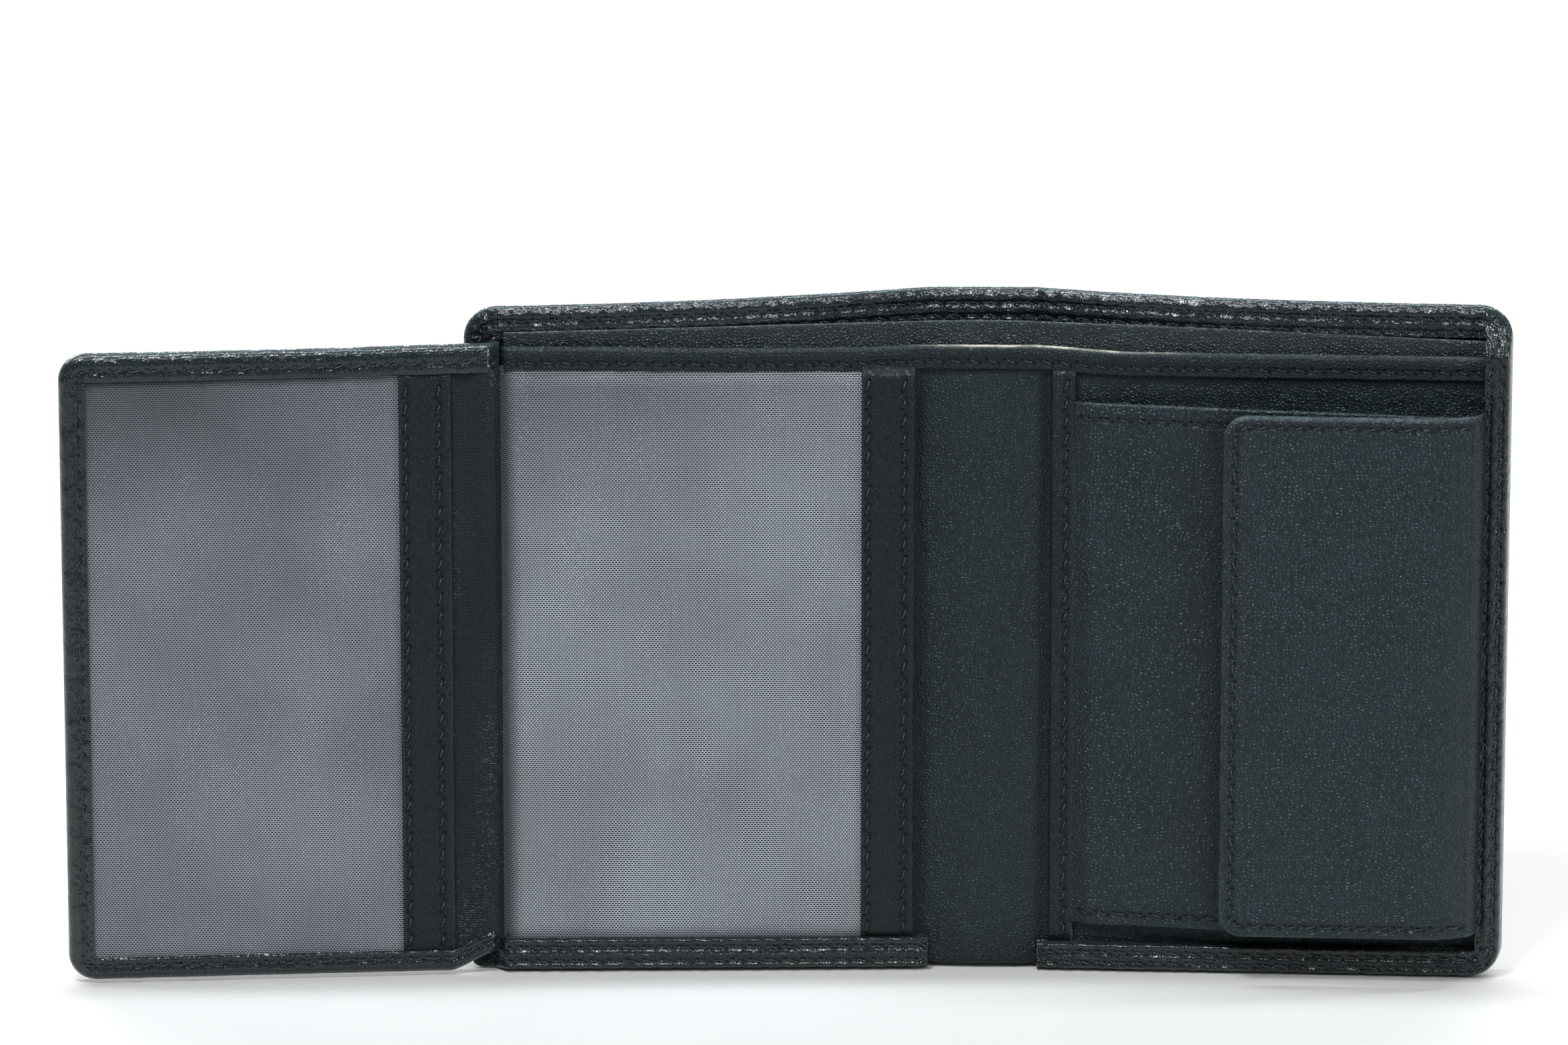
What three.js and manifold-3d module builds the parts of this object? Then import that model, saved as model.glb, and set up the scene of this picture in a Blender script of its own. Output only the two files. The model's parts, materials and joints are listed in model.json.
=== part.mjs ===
// Trifold wallet, standing open on its lower edges with its inner faces towards -Y.
// Millimetres, +Z up. The model's zero is the middle of the spine; the finished wallet is
// moved so that the origin is the bottom centre of its bounding box.
//
// Bodies that move: the spine swings on the centre panel, the coin panel on the spine,
// the leaf on the centre panel's outer edge, and the coin flap and the coin pouch's front
// on the coin panel. Every fold line is vertical.

import * as THREE from 'three';
import { mergeVertices } from 'three/addons/utils/BufferGeometryUtils.js';
import Module from 'manifold-3d';

const wasm = await Module();
wasm.setup();

// ---------------------------------------------------------------- driving dimensions

const GAP = 0.3;                 // between pieces that touch on the real wallet

// Cover
const coverHeight = 125;         // at its two ends
const spinePeak = 2;             // how much taller the cover stands at the spine
const coverLeft = -94;           // outer edge beside the leaf
const coverRight = 95.5;         // outer edge beside the coin flap
const coverThickness = 0.9;
const coverCorner = 6;
const coverInnerDepth = 3.1;     // cover's inner face behind the note wall's front
const mouthBulge = 3.5;          // how far the open note compartment pushes the cover back
const foldBulge = 1;             // the part of that which reaches down to the lower edge
const bulgeReach = 45;           // from the spine fold to where the bulge dies out
const hemHeight = 6;
const hemThickness = 0.8;
const hemCorner = 5.4;

// Spine
const foldX = 9.5;               // the two spine folds stand at -foldX and +foldX
const foldGap = 0.2;             // clearance on each side of a fold line
const panelRestAngle = 4.5;      // coin panel's rest angle, degrees, shared by both folds

// Note compartment
const creaseX = -87.2;           // where the leaf leaves the centre panel
const noteWallTop = 118.2;
const noteWallThickness = 0.8;
const noteBandHeight = 4.2;
const noteBandThickness = 0.8;
const bandFoldGap = 1.3;         // the spine's band ends this far from each fold line
const dividerDepth = 1.1;
const dividerThickness = 0.5;
const dividerTopEnd = 120;
const dividerTopSpine = 122.2;

// Bindings: the cover's edges, turned to the inside over the layers
const bindingFront = -2.4;
const leftBindingHeight = 6.2;
const rightBindingHeight = 5.3;
const rightBindingWidth = 5;
const rightBindingStart = 10.3;

// Windows
const liningThickness = 0.4;
const cardGap = 1;
const netThickness = 0.3;
const windowStripThickness = 1.4;
const netTop = 113.7;
const windowStripLeft = -22.1;
const windowStripRight = -12.35;

// Leaf
const leafLeft = -167;
const leafTop = 118.9;
const leafCorner = 4.5;
const leafEdgeWidth = 4.7;
const leafTopBinding = 5.2;
const leafBottomBinding = 4.6;
const leafStripLeft = -105.8;
const leafStripRight = -96.3;
const leafBack = 0.2;            // depth of the leaf's back face
const leafFront = -3.4;          // depth of the leaf's frontmost face
const leafAxis = { x: -89.5, y: -3.55 };
const leafRestAngle = 3.5;

// Coin pouch and flap
const pocketStripLeft = 12.35;
const pocketStripRight = 16.9;
const pouchLeft = 17.6;
const pouchFrontEdge = 79;
const pouchBottom = 9.1;
const pouchTop = 108.1;
const pouchBackThickness = 0.8;
const pouchFrontThickness = 1;
const pouchRestAngle = 4.8;
const flapLeft = 43.7;
const flapFlatEnd = 80;
const flapRoot = 88.5;
const flapBottom = 9.3;
const flapTop = 107.9;
const flapCorner = 4;
const flapInnerDepth = -7.8;
const flapLayer = 0.75;          // thickness of each of the flap's two leathers
const flapRootDrop = 2.3;        // how much nearer the panel the flap is at its root
const flapAxis = { x: 88.9, y: -6.3 };
const snapX = 51;
const snapZ = 58.6;

// ---------------------------------------------------------------- materials

const material = (color, roughness, metalness = 0) =>
  new THREE.MeshStandardMaterial({ color, roughness, metalness });

const leather = material(0x2b3338, 0.55);
const leatherInside = material(0x30373c, 0.65);
const net = material(0x8a8f99, 0.6);
const darkLining = material(0x15171a, 0.8);
const darkMetal = material(0x3a3d40, 0.35, 0.9);

// ---------------------------------------------------------------- solids

// Rounded-corner outline in X and Z. topAt gives the top edge's height along X.
function outline(x0, x1, z0, topAt, corners = {}) {
  const { topLeft = 0, topRight = 0, bottomRight = 0, bottomLeft = 0 } = corners;
  const steps = 8;
  const shape = new THREE.Shape();
  shape.moveTo(x0 + bottomLeft, z0);
  shape.lineTo(x1 - bottomRight, z0);
  if (bottomRight) shape.quadraticCurveTo(x1, z0, x1, z0 + bottomRight);
  shape.lineTo(x1, topAt(x1) - topRight);
  const right = x1 - topRight;
  const left = x0 + topLeft;
  if (topRight) shape.quadraticCurveTo(x1, topAt(x1), right, topAt(right));
  else shape.lineTo(x1, topAt(x1));
  for (let i = 1; i <= steps; i += 1) {
    const x = right + (left - right) * (i / steps);
    shape.lineTo(x, topAt(x));
  }
  if (topLeft) shape.quadraticCurveTo(x0, topAt(x0), x0, topAt(x0) - topLeft);
  shape.lineTo(x0, z0 + bottomLeft);
  if (bottomLeft) shape.quadraticCurveTo(x0, z0, x0 + bottomLeft, z0);
  return shape;
}

// Outline with a level top edge.
function panel(x0, x1, z0, z1, corners) {
  return outline(x0, x1, z0, () => z1, corners);
}

// Solid with an outline in X and Z, between two depths.
function plate(shape, front, back) {
  const geometry = new THREE.ExtrudeGeometry(shape, {
    depth: back - front, bevelEnabled: false, curveSegments: 5,
  });
  geometry.rotateX(Math.PI / 2);
  geometry.translate(0, back, 0);
  return geometry;
}

// Solid with a section in X and Y, between two heights.
function wall(points, z0, z1) {
  const shape = new THREE.Shape(points.map(([x, y]) => new THREE.Vector2(x, y)));
  const geometry = new THREE.ExtrudeGeometry(shape, { depth: z1 - z0, bevelEnabled: false });
  geometry.translate(0, 0, z0);
  return geometry;
}

// Closed sheet whose front face lies at depthAt(x, z), built on a grid.
function sheet(x0, x1, z0, z1, depthAt, thickness) {
  const columns = Math.max(1, Math.round(Math.abs(x1 - x0) / 12));
  const rows = Math.max(1, Math.round((z1 - z0) / 30));
  const positions = [];
  const index = [];
  const at = (side, i, j) => (side * (rows + 1) + j) * (columns + 1) + i;
  for (let side = 0; side < 2; side += 1) {
    for (let j = 0; j <= rows; j += 1) {
      for (let i = 0; i <= columns; i += 1) {
        const x = x0 + (x1 - x0) * (i / columns);
        const z = z0 + (z1 - z0) * (j / rows);
        positions.push(x, depthAt(x, z) + side * thickness, z);
      }
    }
  }
  const quad = (a, b, c, d) => index.push(a, b, c, a, c, d);
  for (let j = 0; j < rows; j += 1) {
    for (let i = 0; i < columns; i += 1) {
      quad(at(0, i, j), at(0, i + 1, j), at(0, i + 1, j + 1), at(0, i, j + 1));
      quad(at(1, i, j), at(1, i, j + 1), at(1, i + 1, j + 1), at(1, i + 1, j));
    }
  }
  for (let j = 0; j < rows; j += 1) {
    quad(at(0, 0, j), at(0, 0, j + 1), at(1, 0, j + 1), at(1, 0, j));
    quad(at(0, columns, j), at(1, columns, j), at(1, columns, j + 1), at(0, columns, j + 1));
  }
  for (let i = 0; i < columns; i += 1) {
    quad(at(0, i, 0), at(1, i, 0), at(1, i + 1, 0), at(0, i + 1, 0));
    quad(at(0, i, rows), at(0, i + 1, rows), at(1, i + 1, rows), at(1, i, rows));
  }
  const geometry = new THREE.BufferGeometry();
  geometry.setAttribute('position', new THREE.Float32BufferAttribute(positions, 3));
  geometry.setIndex(index);
  return geometry;
}

// Round solid turned about an axis along Y, from [radius, depth] points.
function turned(points, x, z) {
  const profile = points.map(([radius, depth]) => new THREE.Vector2(radius, depth));
  const geometry = new THREE.LatheGeometry(profile, 24);
  geometry.translate(x, 0, z);
  return geometry;
}

function toManifold(geometry) {
  const bare = geometry.clone();
  for (const name of Object.keys(bare.attributes)) {
    if (name !== 'position') bare.deleteAttribute(name);
  }
  const merged = mergeVertices(bare, 1e-4);
  return new wasm.Manifold(new wasm.Mesh({
    numProp: 3,
    vertProperties: new Float32Array(merged.attributes.position.array),
    triVerts: new Uint32Array(merged.index.array),
  }));
}

function toGeometry(solid) {
  const mesh = solid.getMesh();
  const geometry = new THREE.BufferGeometry();
  geometry.setAttribute('position', new THREE.BufferAttribute(mesh.vertProperties, 3));
  geometry.setIndex(new THREE.BufferAttribute(mesh.triVerts, 1));
  return geometry;
}

const intersect = (a, b) => toGeometry(toManifold(a).intersect(toManifold(b)));
const subtract = (a, b) => toGeometry(toManifold(a).subtract(toManifold(b)));

// ---------------------------------------------------------------- frame of moving groups

// Group whose contents keep the wallet's flat coordinates and turn about a vertical line.
function foldedGroup(parent, axis, degrees) {
  const pivot = new THREE.Group();
  pivot.position.set(axis.x, axis.y, 0);
  pivot.rotation.z = THREE.MathUtils.degToRad(degrees);
  const contents = new THREE.Group();
  contents.position.set(-axis.x, -axis.y, 0);
  pivot.add(contents);
  parent.add(pivot);
  return contents;
}

function add(group, name, geometry, finish) {
  const mesh = new THREE.Mesh(geometry, finish);
  mesh.name = name;
  group.add(mesh);
}

// ---------------------------------------------------------------- cover shape

// Top edge of the cover: highest at the spine.
function coverTop(x) {
  return coverHeight + spinePeak * 0.5 * (1 + Math.cos(Math.PI * x / coverRight));
}

// Depth of the cover's inner face. The open note compartment pushes it back at the spine,
// most at the mouth.
function coverDepth(x, z) {
  const start = foldX + bulgeReach;
  const t = Math.min(1, Math.max(0, (start - Math.abs(x)) / bulgeReach));
  return coverInnerDepth + t * t * (foldBulge + mouthBulge * z / coverHeight);
}

const hemDepth = (x, z) => coverDepth(x, z) - GAP - hemThickness;

function dividerTop(x) {
  return dividerTopEnd + (dividerTopSpine - dividerTopEnd) * (1 - Math.abs(x) / coverRight);
}

const coverMargin = 2;           // the cover's pieces are cut from slightly larger sheets

function coverPiece(x0, x1, corners) {
  const raw = sheet(x0, x1, -coverMargin, coverHeight + 3 * coverMargin, coverDepth, coverThickness);
  return intersect(raw, plate(outline(x0, x1, 0, coverTop, corners), -20, 20));
}

function hemPiece(x0, x1, corners) {
  const bottom = coverHeight - hemHeight;
  const raw = sheet(x0, x1, bottom - 1, coverHeight + 3 * coverMargin, hemDepth, hemThickness);
  const inset = (x) => coverTop(x) - GAP;
  return intersect(raw, plate(outline(x0, x1, bottom, inset, corners), -20, 20));
}

function dividerPiece(x0, x1) {
  const shape = outline(x0, x1, 1, dividerTop);
  return plate(shape, dividerDepth, dividerDepth + dividerThickness);
}

function noteWallPiece(x0, x1, z0 = 0.6) {
  return plate(panel(x0, x1, z0, noteWallTop), 0, noteWallThickness);
}

function noteBandPiece(x0, x1) {
  const shape = panel(x0, x1, noteWallTop - noteBandHeight, noteWallTop);
  return plate(shape, -GAP - noteBandThickness, -GAP);
}

// ---------------------------------------------------------------- centre panel

const wallet = new THREE.Group();
const centrePanel = new THREE.Group();
wallet.add(centrePanel);

const leftFoldEdge = -foldX - foldGap;
const liningBack = -GAP;
const liningFront = liningBack - liningThickness;
const netBack = liningFront - cardGap;
const windowFront = netBack - windowStripThickness;

function buildCentrePanel(group) {
  const hemLeft = coverLeft + GAP;
  add(group, 'cover_left', coverPiece(coverLeft, leftFoldEdge,
    { topLeft: coverCorner, bottomLeft: coverCorner }), leather);
  add(group, 'top_hem_left', hemPiece(hemLeft, leftFoldEdge, { topLeft: hemCorner }), leather);
  const edgeHem = panel(hemLeft, hemLeft + hemHeight, GAP, coverHeight - hemHeight - GAP,
    { bottomLeft: coverCorner });
  add(group, 'left_edge_hem', plate(edgeHem, hemDepth(coverLeft, 0),
    hemDepth(coverLeft, 0) + hemThickness), leather);
  add(group, 'note_divider_left', dividerPiece(creaseX + GAP, leftFoldEdge), leatherInside);
  add(group, 'note_wall_left', noteWallPiece(creaseX, leftFoldEdge), leatherInside);
  add(group, 'note_band_left', noteBandPiece(creaseX, leftFoldEdge), leather);
  add(group, 'bottom_binding_left', plate(panel(creaseX, leftFoldEdge, 0, leftBindingHeight),
    bindingFront, -GAP), leather);
  const windowBottom = leftBindingHeight + GAP;
  add(group, 'window_lining', plate(panel(creaseX + GAP, windowStripRight, windowBottom, netTop),
    liningFront, liningBack), darkLining);
  add(group, 'window_net', plate(panel(creaseX + GAP, windowStripLeft - GAP, windowBottom, netTop),
    netBack - netThickness, netBack), net);
  add(group, 'window_strip', plate(panel(windowStripLeft, windowStripRight, windowBottom, netTop),
    windowFront, netBack), leather);
}

buildCentrePanel(centrePanel);

// ---------------------------------------------------------------- spine

const spine = foldedGroup(centrePanel, { x: -foldX, y: 0 }, -panelRestAngle / 2);

function buildSpine(group) {
  const left = -foldX + foldGap;
  const right = foldX - foldGap;
  add(group, 'cover_spine', coverPiece(left, right), leather);
  add(group, 'top_hem_spine', hemPiece(left, right), leather);
  add(group, 'note_divider_spine', dividerPiece(left, right), leatherInside);
  add(group, 'note_wall_spine', noteWallPiece(left, right, 1), leatherInside);
  add(group, 'note_band_spine', noteBandPiece(bandFoldGap - foldX, foldX - bandFoldGap), leather);
}

buildSpine(spine);

// ---------------------------------------------------------------- coin panel

const coinPanel = foldedGroup(spine, { x: foldX, y: 0 }, -panelRestAngle / 2);
const rightFoldEdge = foldX + foldGap;
const bindingInner = coverRight - rightBindingWidth;
const pouchBackFront = -GAP - pouchBackThickness;
const pouchFrontBack = pouchBackFront - GAP;
const pouchHinge = { x: pouchLeft, y: pouchFrontBack };

// Depth of the pouch front's inner face at x, in the rest position.
function pouchInnerDepth(x) {
  return pouchFrontBack - (x - pouchLeft) * Math.tan(THREE.MathUtils.degToRad(pouchRestAngle));
}

function gusset(z0) {
  const start = 26;
  const end = pouchFrontEdge - 1;
  const back = pouchBackFront - GAP;
  const points = [
    [start, back], [end, back],
    [end, pouchInnerDepth(end) + GAP], [start, pouchInnerDepth(start) + GAP],
  ];
  return wall(points.reverse(), z0, z0 + 0.8);
}

function buildCoinPanel(group) {
  const innerEdge = bindingInner - GAP;
  const corners = { topRight: coverCorner, bottomRight: coverCorner };
  add(group, 'cover_right', coverPiece(rightFoldEdge, coverRight, corners), leather);
  add(group, 'top_hem_right', hemPiece(rightFoldEdge, coverRight - GAP,
    { topRight: hemCorner }), leather);
  add(group, 'right_edge_binding', intersect(
    plate(panel(bindingInner, coverRight, 0, coverHeight), bindingFront, -GAP),
    plate(panel(0, coverRight, 0, coverHeight, corners), bindingFront - 1, 1)), leather);
  add(group, 'bottom_binding_right', plate(panel(rightBindingStart, innerEdge, 0,
    rightBindingHeight), bindingFront, -GAP), leather);
  add(group, 'note_divider_right', dividerPiece(rightFoldEdge, innerEdge), leatherInside);
  add(group, 'note_wall_right', noteWallPiece(rightFoldEdge, coverRight - 1, 1), leatherInside);
  add(group, 'note_band_right', noteBandPiece(rightFoldEdge, innerEdge), leather);
  add(group, 'pocket_edge_strip', plate(panel(pocketStripLeft, pocketStripRight,
    rightBindingHeight + GAP, netTop), -GAP - 1.3, -GAP), leather);
  add(group, 'coin_pouch_back', plate(panel(pouchLeft, innerEdge, pouchBottom, pouchTop),
    pouchBackFront, -GAP), leatherInside);
  add(group, 'coin_gusset_bottom', gusset(pouchBottom + 1), leatherInside);
  add(group, 'coin_gusset_top', gusset(pouchTop - 1.8), leatherInside);
}

buildCoinPanel(coinPanel);

// ---------------------------------------------------------------- coin pouch front

const pouchFront = foldedGroup(coinPanel, pouchHinge, -pouchRestAngle);

function buildPouchFront(group) {
  const back = pouchHinge.y;
  const front = back - pouchFrontThickness;
  const body = plate(panel(pouchLeft, pouchFrontEdge, pouchBottom, pouchTop), front, back);
  const hole = turned([[0, front - 1], [1.5, front - 1], [1.5, back + 1], [0, back + 1]],
    snapX, snapZ);
  add(group, 'coin_pouch_front', subtract(body, hole), leather);
  add(group, 'snap_post', turned([
    [0, front - 0.1], [1.1, front - 0.1], [1.1, back + GAP],
    [3.6, back + GAP], [3.6, back + 0.75], [0, back + 0.75],
  ], snapX, snapZ), darkMetal);
  add(group, 'snap_stud', turned([
    [0, front - 1.7], [1.5, front - 1.7], [1.8, front - 1.4], [1.5, front - 0.8],
    [3.4, front - 0.8], [3.4, front - GAP - 0.1], [0, front - GAP - 0.1],
  ], snapX, snapZ), darkMetal);
}

buildPouchFront(pouchFront);

// ---------------------------------------------------------------- coin flap

const coinFlap = foldedGroup(coinPanel, flapAxis, 0);

// Section of one flap leather: flat, then curving back towards its root.
function flapLayerSection(inner) {
  const steps = 4;
  const face = [[flapLeft, 0]];
  for (let i = 0; i <= steps; i += 1) {
    const t = i / steps;
    face.push([flapFlatEnd + (flapRoot - flapFlatEnd) * t, flapRootDrop * t * t]);
  }
  const innerFace = face.map(([x, rise]) => [x, inner + rise]);
  const outerFace = face.map(([x, rise]) => [x, inner - flapLayer + rise]);
  return outerFace.concat(innerFace.reverse());
}

function flapLeather(inner) {
  const raw = wall(flapLayerSection(inner), flapBottom - 1, flapTop + 1);
  const shape = panel(flapLeft, flapRoot + 1, flapBottom, flapTop,
    { topLeft: flapCorner, bottomLeft: flapCorner });
  return intersect(raw, plate(shape, -20, 0));
}

function buildCoinFlap(group) {
  const liningOuter = flapInnerDepth - flapLayer;
  const hole = turned([
    [0, liningOuter - 1], [1.5, liningOuter - 1], [1.5, flapInnerDepth + 1], [0, flapInnerDepth + 1],
  ], snapX, snapZ);
  add(group, 'coin_flap_lining', subtract(flapLeather(flapInnerDepth), hole), leatherInside);
  add(group, 'coin_flap_outer', flapLeather(liningOuter - GAP), leather);
  const seat = flapInnerDepth + GAP;
  add(group, 'snap_socket', turned([
    [0, seat - 0.9], [1.1, seat - 0.9], [1.1, seat], [4.6, seat], [4.6, seat + 0.9],
    [2.3, seat + 0.9], [2.3, seat + GAP], [0, seat + GAP],
  ], snapX, snapZ), darkMetal);
}

buildCoinFlap(coinFlap);

// Soft leather between the right-hand binding and the flap's root.
function flapHinge() {
  const root = flapAxis.y;
  const base = bindingFront - GAP;
  const points = [
    [flapAxis.x - 0.1, root + 1.2], [flapAxis.x + 0.9, root + 0.8],
    [bindingInner + 0.9, base], [bindingInner - 0.3, base],
  ];
  return wall(points, flapBottom, flapTop);
}

add(coinPanel, 'coin_flap_hinge', flapHinge(), leather);

// ---------------------------------------------------------------- leaf

const leaf = foldedGroup(centrePanel, leafAxis, leafRestAngle);

function buildLeaf(group) {
  const back = leafBack - 0.9;
  const lining = back - GAP - liningThickness;
  const windowBack = lining - cardGap;
  const bindingBack = back - GAP;
  const hingeSide = leafAxis.x - 0.7;
  const netBottom = leafBottomBinding + GAP;
  const innerLeft = leafLeft + leafEdgeWidth;
  const bevel = 8;               // the lower corner by the crease is cut away upwards
  const backShape = new THREE.Shape();
  backShape.moveTo(leafLeft + leafCorner, 0.4);
  backShape.lineTo(hingeSide - bevel * 0.7, 0.4);
  backShape.lineTo(hingeSide, bevel);
  backShape.lineTo(hingeSide, leafTop);
  backShape.lineTo(leafLeft + leafCorner, leafTop);
  backShape.quadraticCurveTo(leafLeft, leafTop, leafLeft, leafTop - leafCorner);
  backShape.lineTo(leafLeft, 0.4 + leafCorner);
  backShape.quadraticCurveTo(leafLeft, 0.4, leafLeft + leafCorner, 0.4);
  add(group, 'leaf_back', plate(backShape, back, leafBack), leather);
  add(group, 'leaf_edge_binding', plate(panel(leafLeft, innerLeft, 0.4, leafTop,
    { topLeft: leafCorner, bottomLeft: leafCorner }), leafFront + 0.3, bindingBack), leather);
  add(group, 'leaf_top_binding', plate(panel(innerLeft + GAP, hingeSide,
    leafTop - leafTopBinding, leafTop), leafFront + 0.3, bindingBack), leather);
  add(group, 'leaf_bottom_binding', plate(panel(innerLeft + GAP, hingeSide - bevel * 0.7, 0.4,
    leafBottomBinding), leafFront + 0.3, bindingBack), leather);
  const windowLeft = innerLeft + GAP;
  const windowTop = leafTop - leafTopBinding - GAP;
  add(group, 'leaf_lining', plate(panel(windowLeft, leafStripRight, netBottom, windowTop),
    lining, back - GAP), darkLining);
  add(group, 'leaf_net', plate(panel(windowLeft, leafStripLeft - GAP, netBottom, windowTop),
    windowBack - netThickness, windowBack), net);
  add(group, 'leaf_strip', plate(panel(leafStripLeft, leafStripRight, netBottom, windowTop),
    leafFront, windowBack), leather);
}

buildLeaf(leaf);

// Woven lining that folds between the leaf and the centre panel.
add(centrePanel, 'leaf_hinge_lining', plate(panel(leafStripRight + 0.6, creaseX - 0.6,
  leftBindingHeight + 2, netTop), -1.6, -1.2), darkLining);

// ---------------------------------------------------------------- origin

const box = new THREE.Box3().setFromObject(wallet, true);
const centre = box.getCenter(new THREE.Vector3());
wallet.position.set(-centre.x, -centre.y, -box.min.z);

export default wallet;
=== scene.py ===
"""Looks of the trifold wallet: leather, nylon net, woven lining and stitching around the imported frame.

Shapes are worked out in flat millimetres: x along the opened wallet from the middle of the spine,
y away from the viewer, z up. on_cover, on_leaf and on_pouch put them where the frame's bodies are.
"""
import json
import math

import bpy
import numpy as np
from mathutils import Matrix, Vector

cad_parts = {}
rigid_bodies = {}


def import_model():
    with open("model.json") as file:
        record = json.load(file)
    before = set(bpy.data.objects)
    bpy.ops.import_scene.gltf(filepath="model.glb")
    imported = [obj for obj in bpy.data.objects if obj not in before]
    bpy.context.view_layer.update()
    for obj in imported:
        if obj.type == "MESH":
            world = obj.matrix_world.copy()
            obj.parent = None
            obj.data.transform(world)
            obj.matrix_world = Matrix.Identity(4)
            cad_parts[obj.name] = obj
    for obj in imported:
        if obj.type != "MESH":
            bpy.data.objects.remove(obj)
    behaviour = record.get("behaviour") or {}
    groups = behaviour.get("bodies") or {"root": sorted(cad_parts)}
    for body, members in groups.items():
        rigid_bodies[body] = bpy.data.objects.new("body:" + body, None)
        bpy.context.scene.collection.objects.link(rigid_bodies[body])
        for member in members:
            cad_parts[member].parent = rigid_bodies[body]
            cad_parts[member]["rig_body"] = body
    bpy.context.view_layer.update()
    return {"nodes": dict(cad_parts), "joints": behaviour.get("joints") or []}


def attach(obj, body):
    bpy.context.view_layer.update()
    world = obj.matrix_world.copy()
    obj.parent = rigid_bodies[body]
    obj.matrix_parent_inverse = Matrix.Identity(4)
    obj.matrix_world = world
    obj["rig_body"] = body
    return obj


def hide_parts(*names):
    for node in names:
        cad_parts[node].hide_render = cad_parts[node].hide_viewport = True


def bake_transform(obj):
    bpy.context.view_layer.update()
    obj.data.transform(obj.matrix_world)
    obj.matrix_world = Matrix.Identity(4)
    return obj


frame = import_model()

MM = 0.001

# ---------------------------------------------------------------- places, from the frame

JOINT_AT = {j["name"]: np.array(j["pos_m"][:2]) / MM for j in frame["joints"]}
SPINE_AT = JOINT_AT["spine_fold"]
COIN_AT = JOINT_AT["coin_panel_fold"]
FOLD_X = float(np.linalg.norm(COIN_AT - SPINE_AT)) / 2
FOLD_TURN = math.atan2(COIN_AT[1] - SPINE_AT[1], COIN_AT[0] - SPINE_AT[0])
CENTRE = SPINE_AT + (FOLD_X, 0)
LEAF_AXIS = JOINT_AT["leaf_fold"] - CENTRE
LEAF_TURN = math.radians(3.5)
POUCH_TURN = math.radians(-4.8)
FOLD_REACH = 5.0        # leather bends over this far on each side of a spine fold
LEAF_BEND = (-94.0, -88.2)   # the leaf's leather bends between these, leaf first


def turned(points, centre, angle):
    """Points turned about a vertical line. angle is one number, or one for each point."""
    c, s = np.cos(angle), np.sin(angle)
    x, y = points[..., 0] - centre[0], points[..., 1] - centre[1]
    out = np.array(points, float)
    out[..., 0] = centre[0] + x * c - y * s
    out[..., 1] = centre[1] + x * s + y * c
    return out


def coin_flat(points):
    """Part-frame millimetres on the coin panel, as flat ones."""
    out = turned(points, COIN_AT, -2 * FOLD_TURN)
    out[..., :2] += np.array([FOLD_X, 0]) - COIN_AT
    return out


POUCH_AXIS = coin_flat(np.array([*JOINT_AT["pouch_gape"], 0.0]))[:2]
FLAP_AXIS = coin_flat(np.array([*JOINT_AT["coin_flap_open"], 0.0]))[:2]


def smooth(t):
    """A smooth step from 0 to 1 while t goes from 0 to 1."""
    t = np.clip(t, 0, 1)
    return t * t * (3 - 2 * t)


def bell(distance, width):
    """1 at a distance of 0, fading away over about width."""
    return np.exp(-(distance / width) ** 2)


def on_cover(points):
    """Flat millimetres to metres in the part frame, bent at the two spine folds."""
    x = points[..., 0]
    share = [smooth((x + side * FOLD_X + FOLD_REACH) / (2 * FOLD_REACH)) for side in (-1, 1)]
    out = turned(points, (FOLD_X, 0), FOLD_TURN * share[0])
    out = turned(out, (-FOLD_X, 0), FOLD_TURN * share[1])
    out[..., :2] += CENTRE
    return out * MM


def on_leaf(points):
    """Flat millimetres to metres, on the leaf at its rest angle."""
    share = 1 - smooth((points[..., 0] - LEAF_BEND[0]) / (LEAF_BEND[1] - LEAF_BEND[0]))
    return on_cover(turned(points, LEAF_AXIS, LEAF_TURN * share))


def on_pouch(points):
    """Flat millimetres to metres, on the pouch front at its rest angle."""
    return on_cover(turned(points, POUCH_AXIS, POUCH_TURN))


def spot(x, y, z, place=on_cover):
    """A single place in flat millimetres, in metres in the part frame."""
    return Vector(place(np.array([x, y, z])))


def flat_box(node):
    """Lowest and highest corner of a CAD node in flat millimetres."""
    obj = frame["nodes"][node]
    points = np.array([v.co for v in obj.data.vertices], float) / MM
    body = obj["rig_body"]
    if body in ("centre_panel", "leaf"):
        points[:, :2] -= CENTRE
        if body == "leaf":
            points = turned(points, LEAF_AXIS, -LEAF_TURN)
    else:
        points = coin_flat(points)
        if body == "pouch_front":
            points = turned(points, POUCH_AXIS, -POUCH_TURN)
    return points.min(0), points.max(0)


# ---------------------------------------------------------------- mesh building


def noise(x, z, size, seed):
    """Smooth random heights from -1 to 1, changing over about size millimetres."""
    table = np.random.default_rng(seed).uniform(-1, 1, (61, 61))
    u, v = np.broadcast_arrays(x / size + 0.37 * seed, z / size + 0.61 * seed)
    i, j = np.floor(u).astype(int), np.floor(v).astype(int)
    f, g = [t * t * t * (t * (6 * t - 15) + 10) for t in (u - i, v - j)]
    at = lambda a, b: table[a % 61, b % 61]
    near = at(i, j) * (1 - f) + at(i + 1, j) * f
    far = at(i, j + 1) * (1 - f) + at(i + 1, j + 1) * f
    return near * (1 - g) + far * g


def calm(x):
    """x, levelled off round 0, so that two halves that meet there have the same slope."""
    return x * smooth(np.abs(x) / 2.5)


def lines(*stops):
    """Grid lines: a place, the spacing to the next place, that place, and so on."""
    out = [stops[0]]
    for i in range(0, len(stops) - 2, 2):
        start, step, end = stops[i:i + 3]
        count = max(1, math.ceil((end - start) / step - 1e-6))
        out += list(np.linspace(start, end, count + 1)[1:])
    return np.array(out)


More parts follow.
